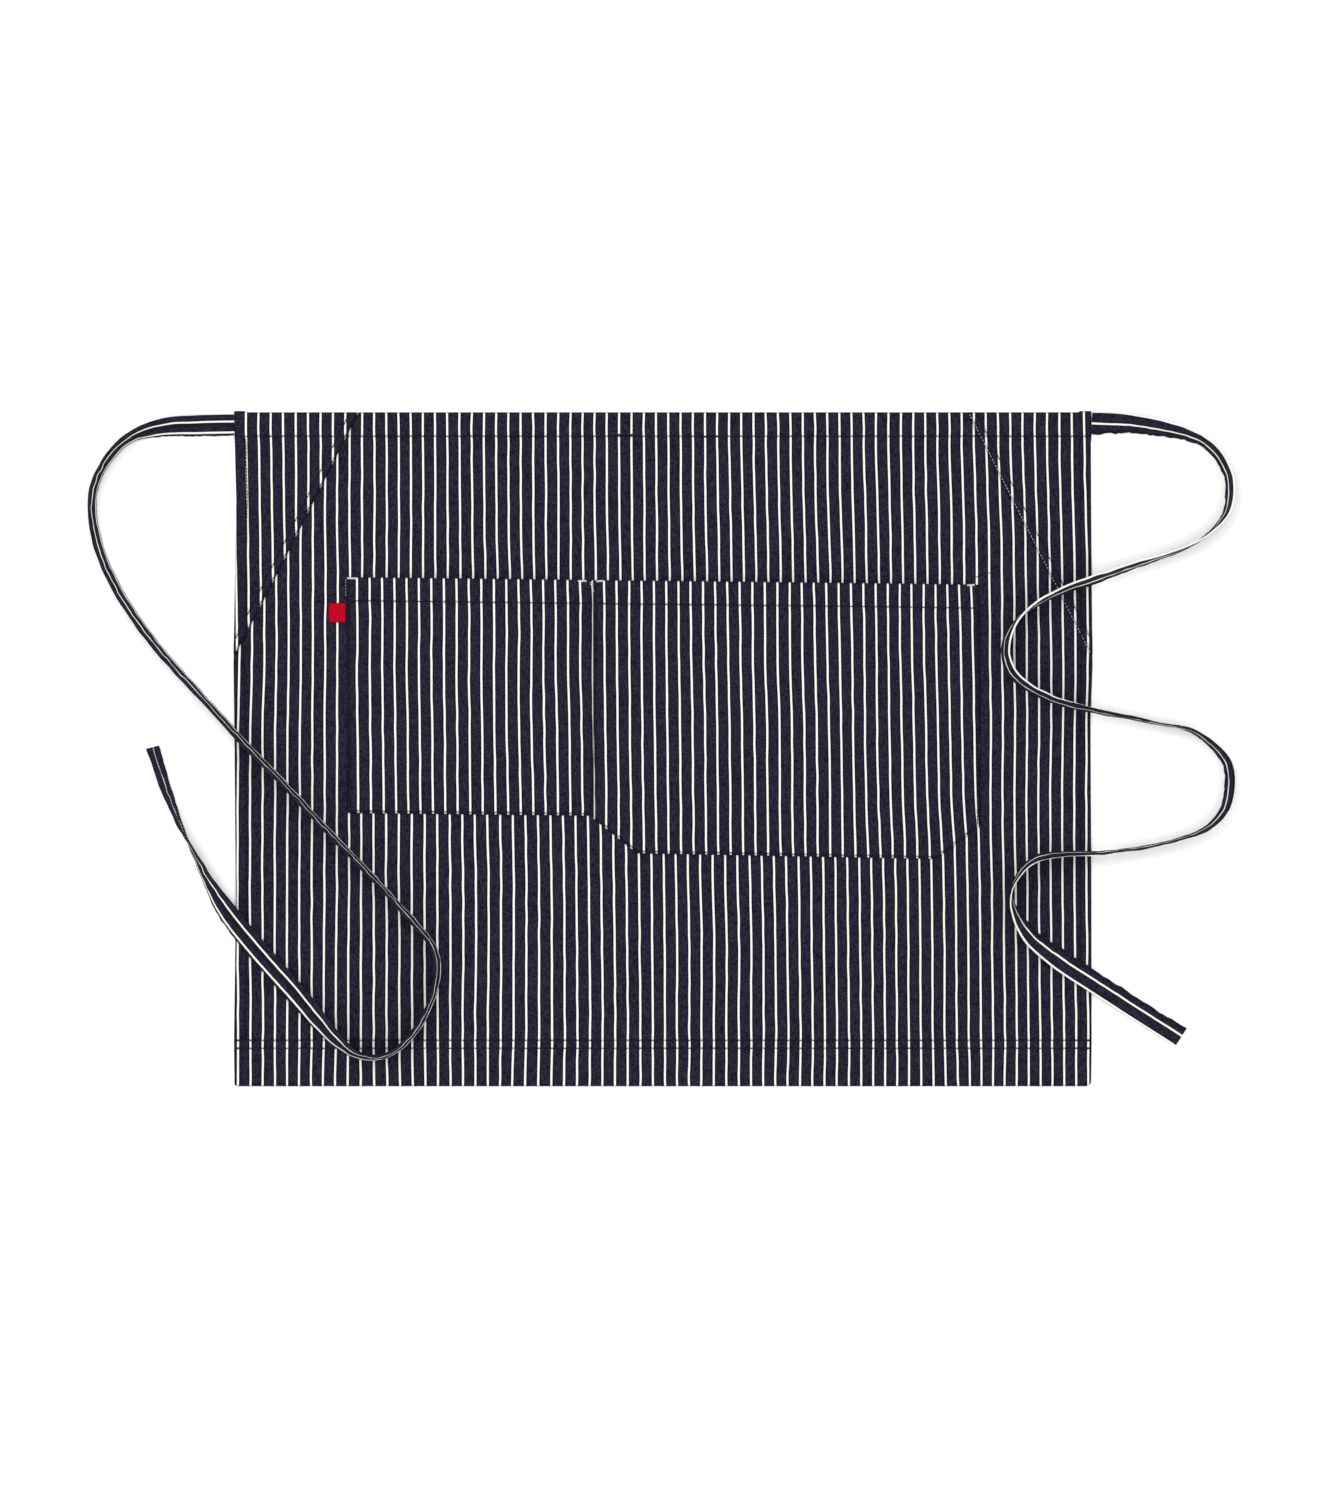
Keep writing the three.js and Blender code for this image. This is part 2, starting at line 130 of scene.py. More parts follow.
# How far the side edges sway out of a straight line. Columns: below the waist, out on the left,
# out on the right.
EDGE_SWAY = (
    (0.000, 0.0010, 0.0002),
    (0.023, 0.0012, 0.0004),
    (0.029, 0.0002, -0.0002),
    (0.083, -0.0013, 0.0000),
    (0.170, 0.0002, 0.0006),
    (0.237, 0.0014, 0.0015),
    (0.292, 0.0006, -0.0006),
    (0.463, -0.0009, 0.0003),
    (0.600, 0.0009, 0.0005),
    (0.640, 0.0004, 0.0000),
)

# Routes of the ties, in metres: the part's own, but for steeper tilts in the right tie's second
# loop. Columns: beyond the side edge, below the waist edge, tilt in degrees (0 front up, positive
# with the edge on the left of travel raised), 1 where it lies on the body and 0 on the surface.
LEFT_TIE = (
    (0.0005, 0.012, 0, 0),
    (0.038, 0.013, -16, 0),
    (0.060, 0.014, -32, 0),
    (0.077, 0.017, -50, 0),
    (0.093, 0.022, -67, 0),
    (0.108, 0.032, -75, 0),
    (0.120, 0.046, -78, 0),
    (0.129, 0.062, -79, 0),
    (0.134, 0.080, -79, 0),
    (0.134, 0.099, -77, 0),
    (0.130, 0.121, -74, 0),
    (0.120, 0.150, -73, 0),
    (0.103, 0.181, -73, 0),
    (0.080, 0.214, -73, 0),
    (0.055, 0.244, -75, 0),
    (0.026, 0.275, -79, 0.5),
    (-0.007, 0.311, -79, 1),
    (-0.044, 0.349, -79, 1),
    (-0.082, 0.390, -80, 1),
    (-0.119, 0.428, -80, 1),
    (-0.150, 0.461, -81, 1),
    (-0.176, 0.490, -80, 1),
    (-0.190, 0.510, -78, 1),
    (-0.193, 0.530, -78, 1),
    (-0.188, 0.555, -78, 1),
    (-0.177, 0.579, -76, 1),
    (-0.161, 0.599, -76, 1),
    (-0.141, 0.611, -76, 1),
    (-0.120, 0.610, -70, 1),
    (-0.101, 0.599, -50, 1),
    (-0.080, 0.577, -25, 1),
    (-0.056, 0.549, -6, 1),
    (-0.028, 0.518, 0, 1),
    (-0.004, 0.489, -4, 1),
    (0.010, 0.469, -24, 1),
    (0.023, 0.447, -54, 0.6),
    (0.038, 0.418, -76, 0),
    (0.051, 0.392, -94, 0),
    (0.064, 0.358, -110, 0),
    (0.077, 0.318, -118, 0),
)
RIGHT_TIE = (
    (0.0005, 0.0105, 6, 0),
    (0.041, 0.012, 36, 0),
    (0.085, 0.020, 60, 0),
    (0.105, 0.028, 70, 0),
    (0.120, 0.042, 73, 0),
    (0.129, 0.060, 73, 0),
    (0.131, 0.079, 73, 0),
    (0.127, 0.097, 79, 0),
    (0.113, 0.114, 88, 0),
    (0.091, 0.128, 95, 0),
    (0.064, 0.138, 99, 0),
    (0.034, 0.148, 105, 0.4),
    (0.003, 0.159, 111, 1),
    (-0.026, 0.169, 109, 1),
    (-0.050, 0.181, 102, 1),
    (-0.069, 0.195, 90, 1),
    (-0.080, 0.213, 78, 1),
    (-0.082, 0.232, 73, 1),
    (-0.075, 0.249, 72, 1),
    (-0.056, 0.264, 74, 1),
    (-0.029, 0.276, 76, 1),
    (0.000, 0.283, 80, 1),
    (0.031, 0.289, 84, 0.4),
    (0.062, 0.295, 87, 0),
    (0.092, 0.301, 86, 0),
    (0.113, 0.315, 81, 0),
    (0.128, 0.334, 74, 0),
    (0.130, 0.356, 71, 0),
    (0.124, 0.380, 77, 0),
    (0.106, 0.397, 83, 0),
    (0.078, 0.407, 86, 0),
    (0.046, 0.414, 87, 0.1),
    (0.012, 0.418, 84, 1),
    (-0.056, 0.425, 78, 1),
    (-0.077, 0.456, 96, 1),
    (-0.071, 0.479, 118, 1),
    (-0.057, 0.499, 142, 1),
    (-0.033, 0.518, 164, 1),
    (-0.004, 0.537, 174, 1),
    (0.085, 0.594, 180, 0),
)


def ramp(value, start, end):
    """0 before start, 1 past end, smooth between."""
    t = np.clip((value - start) / (end - start), 0, 1)
    return t * t * (3 - 2 * t)


def waviness(x, y, size, seed):
    """Smooth noise from -1 to 1 with bumps about as wide as size."""
    table = np.random.RandomState(seed).uniform(-1, 1, (128, 128))
    u, v = np.asarray(x) / size + 500.3, np.asarray(y) / size + 500.7
    i, j = np.floor(u).astype(int), np.floor(v).astype(int)
    fu, fv = u - i, v - j
    fu, fv = fu * fu * (3 - 2 * fu), fv * fv * (3 - 2 * fv)
    i, j, k, m = i % 128, j % 128, (i + 1) % 128, (j + 1) % 128
    low = table[i, j] * (1 - fu) + table[k, j] * fu
    high = table[i, m] * (1 - fu) + table[k, m] * fu
    return low * (1 - fv) + high * fv


def rounded(inset, radius):
    """Share of its thickness that a folded edge has at a distance in from its outline."""
    t = np.clip(inset / radius, 0, 1)
    return 0.06 + 0.94 * np.sqrt(1 - (1 - t) ** 2)


def thinned(lower, upper, share):
    """Both sides of a sheet drawn towards its middle, to a share of its thickness."""
    middle = (lower + upper) / 2
    return middle + (lower - middle) * share, middle + (upper - middle) * share


def groove(distance, width):
    """1 on a seam, falling to 0 a few widths away."""
    return np.exp(-((distance / width) ** 2))


def fold_inset(down):
    """How far the fold of a corner panel lies in from the side edge."""
    return CORNER_ALONG_WAIST * np.maximum(0, 1 - down / CORNER_DOWN_SIDE)


def beyond_fold(x, y):
    """Distance past the fold of the nearer corner panel, positive on the corner's side."""
    inset = HALF_WIDTH - np.abs(x)
    down = HALF_LENGTH - y
    across = CORNER_ALONG_WAIST * (1 - down / CORNER_DOWN_SIDE) - inset
    return across * CORNER_DOWN_SIDE / CORNER_FOLD


def ripple(x, y):
    """Height that the ripples lift the cloth by."""
    height = np.zeros_like(x)
    for px, py, half_width, half_length, degrees, share in RIPPLES:
        turn = math.radians(degrees)
        dx, dy = x - px * HALF_WIDTH, y - py * HALF_LENGTH
        across = (dx * math.cos(turn) + dy * math.sin(turn)) / (half_width * HALF_WIDTH)
        along = (dy * math.cos(turn) - dx * math.sin(turn)) / (half_length * HALF_LENGTH)
        inside = (np.abs(across) < 1) & (np.abs(along) < 1)
        crest = np.cos(across * math.pi / 2) * np.cos(along * math.pi / 2)
        height = np.maximum(height, np.where(inside, share * crest * crest, 0))
    return height * (HEM - CLOTH)


def body_layers(x, y, side_hem):
    """Lower side, upper side and painted seam shade of the hemmed panel cloth, with its edges still
    square.
    """
    down = HALF_LENGTH - y
    up = 2 * HALF_LENGTH - down
    inset = HALF_WIDTH - np.abs(x)
    waist_end, bottom_end, side_end = (
        WAIST_HEM + HEM_ALLOWANCE,
        BOTTOM_HEM + HEM_ALLOWANCE,
        SIDE_HEM + HEM_ALLOWANCE,
    )
    inside = np.minimum(down - waist_end, up - bottom_end)
    if side_hem:
        inside = np.minimum(inside, inset - side_end)
    lift = (HEM - CLOTH) * (1 - ramp(inside, 0, HEM_FADE))
    folded = ramp(inside, 0.7 * MM, 0)
    upper = CLOTH + lift + ripple(x, y)
    rows = [down - WAIST_HEM, up - BOTTOM_HEM, up - BOTTOM_SECOND_ROW]
    if side_hem:
        rows.append(np.where((down > WAIST_HEM) & (up > BOTTOM_HEM), inset - SIDE_HEM, 1))
    painted_shade = np.zeros_like(x)
    for number, row in enumerate(rows):
        pull = 0.75 + 0.5 * waviness(x + y, x * 0, 8 * MM, 40 + number)
        upper = upper - 0.26 * MM * pull * groove(row, 1.1 * MM)
        # Painted shade: the cloth's colour darkens along each stitch row, where its groove lies.
        painted_shade = np.maximum(painted_shade, SEAM_SHADE * pull * groove(row, 0.95 * MM))
        pucker = waviness(x, y, 6.5 * MM, 60 + number) * groove(row, 6 * MM)
        upper = upper + 0.16 * MM * pucker
    hem = ramp(inside, 3 * MM, -2 * MM)
    rope = np.sin((x + y) / (1.7 * MM) + 2 * waviness(x, y, 25 * MM, 71))
    upper = upper + 0.06 * MM * hem * rope
    upper = upper + 0.12 * MM * waviness(x, y, 34 * MM, 72) * (1 - hem)
    lower = np.maximum(0, upper - CLOTH) * (1 - folded)
    return lower, upper, painted_shade


def mouth_y(x):
    """The line of the pocket mouths."""
    share = (x - POCKET_LEFT) / (POCKET_RIGHT - POCKET_LEFT)
    return HALF_LENGTH - POCKET_FROM_WAIST - POCKET_MOUTH_FALL * share


def large_bottom_y(x):
    """The bottom outline of the large pocket, with its slanted corners."""
    from_edge = np.minimum(x - DIVIDER, POCKET_RIGHT - x)
    share = (x - DIVIDER) / (POCKET_RIGHT - DIVIDER)
    level = POCKET_FROM_BOTTOM - HALF_LENGTH - POCKET_MOUTH_FALL * share
    return level + LARGE_CORNER_UP * np.maximum(0, 1 - from_edge / LARGE_CORNER_ACROSS)


def small_bottom_y(x):
    """The bottom outline of the small pocket."""
    depth = mouth_y(POCKET_LEFT) + HALF_LENGTH - POCKET_FROM_BOTTOM - SMALL_POCKET_SHORTER
    return mouth_y(x) - depth


# Columns: left edge, right edge, bottom outline, how far the left edge leans in at the bottom,
# seed of the puckers.
POCKETS = {
    "small": (POCKET_LEFT, DIVIDER - POCKET_GAP, small_bottom_y, SMALL_POCKET_TAPER, 101),
    "large": (DIVIDER + POCKET_GAP, POCKET_RIGHT, large_bottom_y, 0.0, 111),
}


def pocket_lean(name, x, y):
    """How far a pocket's leaning left edge moves a place to the right."""
    left, right, bottom_y, taper, _ = POCKETS[name]
    depth = mouth_y(left) - bottom_y(left)
    return taper * (right - x) / (right - left) * (mouth_y(x) - y) / depth


def waver(x, y, seed):
    """How far, in stripes, the stripes wander from their lines where the cloth has pulled."""
    drift = 0.55 * waviness(x, y * 0.6, 42 * MM, seed) + 0.3 * waviness(x, y, 15 * MM, seed + 1)
    in_hem = ramp(y, 0.012 + BOTTOM_SECOND_ROW - HALF_LENGTH, -HALF_LENGTH)
    slip = 1.1 * in_hem * (0.4 + waviness(x, x * 0, 60 * MM, seed + 2))
    return (drift + slip) * MM / STRIPE_PITCH


def body_stripes(x, y):
    """Stripe number of the main panel's cloth: the stripes bow a little towards the bottom."""
    down = (HALF_LENGTH - y) / (2 * HALF_LENGTH)
    pitch = (11.62 + 0.09 * down) * MM
    bow = 8 * MM * ramp(down, 0.13, 0.8)
    to_right = 1.6 * MM * ramp(x, -0.12, 0.15) * ramp(down, 0.04, 0.22)
    start = FIRST_STRIPE - (0.95 * MM + to_right) * (1 - ramp(down, 0.3, 0.65))
    number = (x + start) / pitch
    for _ in range(2):
        swell = np.sin(math.pi * np.clip(number, 0, 59) / 59)
        number = (x + start - bow * swell) / pitch
    return number + waver(x, y, 171)


def left_corner_stripes(x, y):
    """Stripe number of the left corner's cloth, which is cut apart from the panel's."""
    down = HALF_LENGTH - y
    return (x + 396.2 * MM - 0.016 * down) / (11.85 * MM - 0.0017 * down) + waver(x, y, 174)


def small_pocket_stripes(x, y):
    """Stripe number of the small pocket's cloth."""
    below = mouth_y(POCKET_LEFT) - y
    start = 291.0 * MM - 1.1 * MM * (1 - ramp(below, 0.03, 0.1))
    return (x + start - 0.0079 * below) / (11.75 * MM + 0.0004 * below) + waver(x, y, 177)


def large_pocket_stripes(x, y):
    """Stripe number of the large pocket's cloth."""
    below = mouth_y(DIVIDER) - y
    drawn_in = 3.2 * MM * ramp(x, 0.15, 0.3) * (1 - ramp(below, 0.2, 0.27))
    start = 55.8 * MM + drawn_in
    return (x + start - 0.0082 * below) / (11.71 * MM + 0.0004 * below) + waver(x, y, 180)


def stations(*stretches):
    """One row of places from stretches of (start, end, greatest step), ends shared."""
    places = [stretches[0][0]]
    for start, end, step in stretches:
        count = max(1, math.ceil(abs(end - start) / step - 1e-6))
        places += [start + (end - start) * (i + 1) / count for i in range(count)]
    return np.array(places)


FOLD_STEPS = (0.0, 0.12 * MM, 0.45 * MM, 1.0 * MM)


def edge_stretches(width):
    """Places from a folded edge inwards, close together where it is round."""
    fine = [(a, b, 1) for a, b in zip(FOLD_STEPS, FOLD_STEPS[1:])]
    return fine + [(FOLD_STEPS[-1], width, 0.9 * MM)]


def side_hem_stations(end):
    """Places from a side edge inwards, past the stitch row of its hem."""
    return stations(*edge_stretches(4 * MM), (4 * MM, 9 * MM, 1.2 * MM), (9 * MM, end, 0.8 * MM))


def mesh_object(name, points, faces, uvs=None, sharp=40, painted_shade=None):
    """A new object at the origin, smooth but for sharp edges. UVs are by point or by corner."""
    mesh = bpy.data.meshes.new(name)
    mesh.from_pydata([tuple(p) for p in points], [], faces)
    if uvs is not None:
        layer = mesh.uv_layers.new(name="cloth")
        values = np.asarray(uvs, dtype=np.float32)
        if len(values) == len(points):
            corners = np.empty(len(mesh.loops), dtype=np.int32)
            mesh.loops.foreach_get("vertex_index", corners)
            values = values[corners]
        layer.data.foreach_set("uv", values.ravel())
    # The painted shade is stored as a point attribute, which the materials darken their colour by.
    if painted_shade is not None:
        shade = mesh.attributes.new("painted_shade", "FLOAT", "POINT")
        shade.data.foreach_set("value", np.asarray(painted_shade, dtype=np.float32).ravel())
    mesh.update()
    obj = bpy.data.objects.new(name, mesh)
    bpy.context.collection.objects.link(obj)
    for polygon in mesh.polygons:
        polygon.use_smooth = True
    mesh.set_sharp_from_angle(angle=math.radians(sharp))
    return obj


def closed_sheet(name, front, back, uv, painted_shade=None):
    """A closed sheet between two grids of points, whose rows run down and columns rightwards."""
    rows, columns = front.shape[:2]
    index = np.arange(rows * columns).reshape(rows, columns)
    under = index + rows * columns
    points = np.concatenate([front.reshape(-1, 3), back.reshape(-1, 3)])
    a, b, c, d = index[:-1, :-1], index[1:, :-1], index[1:, 1:], index[:-1, 1:]
    outer = np.stack([a, b, c, d], -1).reshape(-1, 4)
    a, b, c, d = under[:-1, :-1], under[:-1, 1:], under[1:, 1:], under[1:, :-1]
    inner = np.stack([a, b, c, d], -1).reshape(-1, 4)
    rim = [(i, 0) for i in range(rows - 1)]
    rim += [(rows - 1, j) for j in range(columns - 1)]
    rim += [(i, columns - 1) for i in range(rows - 1, 0, -1)]
    rim += [(0, j) for j in range(columns - 1, 0, -1)]
    wall = []
    for place, after in zip(rim, rim[1:] + rim[:1]):
        wall.append((under[place], under[after], index[after], index[place]))
    faces = outer.tolist() + inner.tolist() + [tuple(int(v) for v in f) for f in wall]
    flat_uv = uv.reshape(-1, 2)
    shade = None if painted_shade is None else np.concatenate([painted_shade.ravel(), painted_shade.ravel()])
    return mesh_object(name, points, faces, np.concatenate([flat_uv, flat_uv]), 75, shade)


def cloth_sheet(name, x, y, lower, upper, stripes, painted_shade):
    """A closed sheet of cloth that lies flat, between its lower and its upper side."""
    front, back = np.stack([x, y, upper], -1), np.stack([x, y, lower], -1)
    return closed_sheet(name, front, back, np.stack([stripes, y], -1), painted_shade)


def fold_edge_shade(inset):
    """How much darker the cloth is on the turn of a folded edge, where less light comes."""
    return 0.55 * (1 - ramp(inset, 0.2 * MM, 1.5 * MM))


class Value:
    """A socket in a material, with arithmetic that adds Math nodes."""

    def __init__(self, shader, socket):
        self.shader = shader
        self.socket = socket

    def math(self, operation, *others):
        """One Math node on this value and others."""
        return self.shader.node("ShaderNodeMath", {"operation": operation}, (self, *others))[0]

    def __add__(self, other):
        return self.math("ADD", other)

    def __radd__(self, other):
        return self.math("ADD", other)

    def __sub__(self, other):
        return self.math("SUBTRACT", other)

    def __rsub__(self, other):
        return self.shader.node("ShaderNodeMath", {"operation": "SUBTRACT"}, (other, self))[0]

    def __mul__(self, other):
        return self.math("MULTIPLY", other)

    def __rmul__(self, other):
        return self.math("MULTIPLY", other)

    def wave(self):
        """A sine wave between 0 and 1."""
        return self.math("SINE") * 0.5 + 0.5

    def size(self):
        """The value without its sign."""
        return self.math("ABSOLUTE")

    def step(self, start, end):
        """0 at start, 1 at end, smooth between."""
        settings = {"interpolation_type": "SMOOTHSTEP"}
        return self.shader.node("ShaderNodeMapRange", settings, (self, start, end, 0.0, 1.0))[0]


class Shader:
    """A material with one shader, built from expressions."""

    def __init__(self, name):
        self.material = bpy.data.materials.new(name)
        self.material.use_nodes = True
        self.tree = self.material.node_tree
        self.surface = self.tree.nodes["Principled BSDF"]

    def node(self, kind, settings, values):
        """Adds a node: its settings first, then a value or a link for each socket."""
        made = self.tree.nodes.new(kind)
        for setting, value in settings.items():
            setattr(made, setting, value)
        pairs = values.items() if isinstance(values, dict) else enumerate(values)
        for key, value in pairs:
            if isinstance(value, Value):
                self.tree.links.new(value.socket, made.inputs[key])
            else:
                made.inputs[key].default_value = value
        return [Value(self, socket) for socket in made.outputs]

    def mix(self, share, a, b):
        """A colour between two, share of the way to the second."""
        made = self.node("ShaderNodeMix", {"data_type": "RGBA"}, {0: share, 6: a, 7: b})
        return made[2]

    def place(self, x, y, z=0.0):
        """A place in the texture from three values."""
        return self.node("ShaderNodeCombineXYZ", {}, (x, y, z))[0]

    def noise(self, place, scale, detail=2.0, roughness=0.5):
        """Noise from 0 to 1 at a place, with its scale in bumps a metre."""
        values = {"Vector": place, "Scale": scale, "Detail": detail, "Roughness": roughness}
        return self.node("ShaderNodeTexNoise", {}, values)[0]

    def bump(self, height, distance, strength=1.0, over=None):
        """A normal from a height, on top of another normal where one is given."""
        values = {"Height": height, "Distance": distance, "Strength": strength}
        if over is not None:
            values["Normal"] = over
        return self.node("ShaderNodeBump", {}, values)[0]

    def finish(self, **values):
        """Sets or links the surface's sockets, with spaces written as underscores."""
        for key, value in values.items():
            socket = self.surface.inputs[key.replace("_", " ")]
            if isinstance(value, Value):
                self.tree.links.new(value.socket, socket)
            else:
                socket.default_value = value
        return self.material


def colour(values):
    """A colour property's values with full alpha."""
    return (*values[:3], 1.0)


def striped_twill(name, sizes, seed):
    """Navy twill with woven ivory stripes. U counts stripes, V is metres along them."""
    shader = Shader(name)
    parts = shader.node("ShaderNodeUVMap", {"uv_map": "cloth"}, ())
    number, along, _ = shader.node("ShaderNodeSeparateXYZ", {}, (parts[0],))
    across = number * STRIPE_PITCH
    place = shader.place(across, along, seed * 0.37)

    line = (across + along * 0.82) * (2 * math.pi / sizes.twill_spacing)
    wander = shader.noise(place, 900.0, 2.0) * 2.4
    twill = (line + wander).wave()
    yarn = (along * (2 * math.pi / (0.62 * MM))).wave()

    fleck = shader.noise(place, 520.0, 3.0, 0.75)
    streak = shader.noise(shader.place(across * 2.6, along * 0.5, seed), 260.0, 2.0, 0.6)
    blotch = shader.noise(place, 30.0, 3.0, 0.55)
    grain = fleck * 0.7 + streak * 0.3
    lift = grain.step(0.36, 0.64) * 0.84 + twill * 0.08 + blotch.step(0.3, 0.7) * 0.08
    navy = shader.mix(lift, colour(sizes.navy_shade), colour(sizes.navy_light))

    fraction = number.math("FRACT")
    to_middle = (0.5 - (fraction - 0.5).size()).size() * STRIPE_PITCH
    frayed = to_middle + (fleck - 0.5) * (0.4 * MM)
    half = STRIPE_WIDTH / 2
    stripe = frayed.step(half + 0.15 * MM, half - 0.15 * MM)
    beside = frayed.step(half + 1.35 * MM, half + 0.75 * MM)
    edged = shader.mix(beside * 0.85, navy, colour(sizes.hairline_and_shade))
    # Painted shade: along seams and on folded edges the colour darkens towards the dark yarn colour,
    # by the mesh's painted shade attribute.
    painted_shade = shader.node("ShaderNodeAttribute", {"attribute_name": "painted_shade"}, ())[2]

    sunk = yarn * 0.14 + (1 - fleck.step(0.32, 0.62)) * 0.16 + (1 - blotch) * 0.08
    ivory = shader.mix(sunk, colour(sizes.ivory), colour(sizes.ivory_shade))
    lit = shader.mix(stripe, edged, ivory)
    base = shader.mix(painted_shade, lit, colour(sizes.hairline_and_shade))

    relief = twill * 0.55 + yarn * stripe * 0.5 + grain * 0.9 + stripe * 0.35
    fine = shader.bump(relief, 0.16 * MM, 0.8)
    wrinkle = shader.noise(place, 70.0, 4.0, 0.6)
    soft = shader.bump(wrinkle, 0.9 * MM, 0.35, fine)
    roughness = 0.86 + (1 - lift) * 0.1 - stripe * 0.06
    return shader.finish(
        Base_Color=base,
        Roughness=roughness,
        Normal=soft,
        Sheen_Weight=0.04,
        Sheen_Roughness=0.5,
        Sheen_Tint=(0.35, 0.33, 0.5, 1),
        Specular_IOR_Level=0.03,
    )


def sewing_thread(name, shade, light):
    """Twisted thread, with plies and specks on Object coordinates."""
    shader = Shader(name)
    place = shader.node("ShaderNodeTexCoord", {}, ())[3]
    speckle = shader.noise(place, 2600.0, 2.0)
    x, y, z = shader.node("ShaderNodeSeparateXYZ", {}, (place,))
    ply = ((x + y * 0.6 + z) * (2 * math.pi / (0.5 * MM))).wave()
    share = ply * 0.6 + speckle * 0.4
    base = shader.mix(share, colour(shade), colour(light))
    return shader.finish(
        Base_Color=base,
        Roughness=0.5 + speckle * 0.2,
        Normal=shader.bump(ply, 0.06 * MM, 0.6),
        Sheen_Weight=0.03,
        Specular_IOR_Level=0.1,
    )


def dark_thread(sizes):
    """The dark sewing thread."""
    return material("dark_thread", sewing_thread, sizes.thread_shade, sizes.thread_light)


def light_thread(sizes):
    """The light thread of the bartacks and backstitches at the pocket mouths."""
    values = (sizes.light_thread_shade, sizes.light_thread)
    return material("light_thread", sewing_thread, *values)


def red_ribbon(name, sizes):
    """The label's satin weave: fine ribs across it."""
    shader = Shader(name)
    parts = shader.node("ShaderNodeUVMap", {"uv_map": "cloth"}, ())
    u, v, _ = shader.node("ShaderNodeSeparateXYZ", {}, (parts[0],))
    rib = (v * (2 * math.pi / (0.42 * MM))).wave()
    pick = ((u + v * 0.3) * (2 * math.pi / (0.7 * MM))).wave()
    speckle = shader.noise(shader.place(u, v), 1500.0, 2.0)
    share = rib * 0.4 + pick * 0.2 + speckle * 0.4
    woven = shader.mix(share, colour(sizes.red_shade), colour(sizes.red_light))
    # Painted shade on the label's ends and fold, and a painted shadow where it goes under the pocket:
    # the weave darkens to a dark red.
    painted_shade = shader.node("ShaderNodeAttribute", {"attribute_name": "painted_shade"}, ())[2]
    base = shader.mix(painted_shade, woven, (0.03, 0.0, 0.002, 1.0))
    return shader.finish(
        Base_Color=base,
        Roughness=0.55 + speckle * 0.15,
        Normal=shader.bump(rib * 0.7 + pick * 0.3, 0.08 * MM, 0.7),
        Sheen_Weight=0.01,
        Specular_IOR_Level=0.02,
    )


def floor_finish(name):
    """Pale matt paper under the apron."""
    shader = Shader(name)
    place = shader.node("ShaderNodeTexCoord", {}, ())[3]
    mottle = shader.noise(place, 3.0, 3.0)
    base = shader.mix(mottle, (0.93, 0.93, 0.93, 1), (0.96, 0.96, 0.96, 1))
    return shader.finish(Base_Color=base, Roughness=0.9, Specular_IOR_Level=0.1)


def material(name, make, *values):
    """The material of that name, made the first time that it is asked for."""
    return bpy.data.materials.get(name) or make(name, *values)


def dress(obj, finish, slot, *nodes):
    """Gives a piece its material and lets it stand for its nodes; slot is not used."""
    obj.data.materials.append(finish)
    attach(obj, "root")
    if nodes:
        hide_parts(*nodes)
    return obj


def sway(x, down):
    """How far the side edges are pushed out at a place."""
    below = [row[0] for row in EDGE_SWAY]
    left = np.interp(down, below, [row[1] for row in EDGE_SWAY])
    right = np.interp(down, below, [row[2] for row in EDGE_SWAY])
    near = ramp(np.abs(x), HALF_WIDTH - 70 * MM, HALF_WIDTH)
    return np.where(x < 0, -left, right) * near


def round_bottom_corners(x, y):
    """The turned corners at the bottom hem, drawn in a little."""
    inset = HALF_WIDTH - np.abs(x)
    radius = np.where(x > 0, 5 * MM, 2.5 * MM)
    cut = radius - np.sqrt(np.maximum(0, radius**2 - np.maximum(0, radius - inset) ** 2))
    near = ramp(y, -HALF_LENGTH + 22 * MM, -HALF_LENGTH)
    return y + cut * near


def panel_height(x, y):
    """Upper side of the main panel at a place."""
    return body_layers(x, y, side_hem=True)[1]


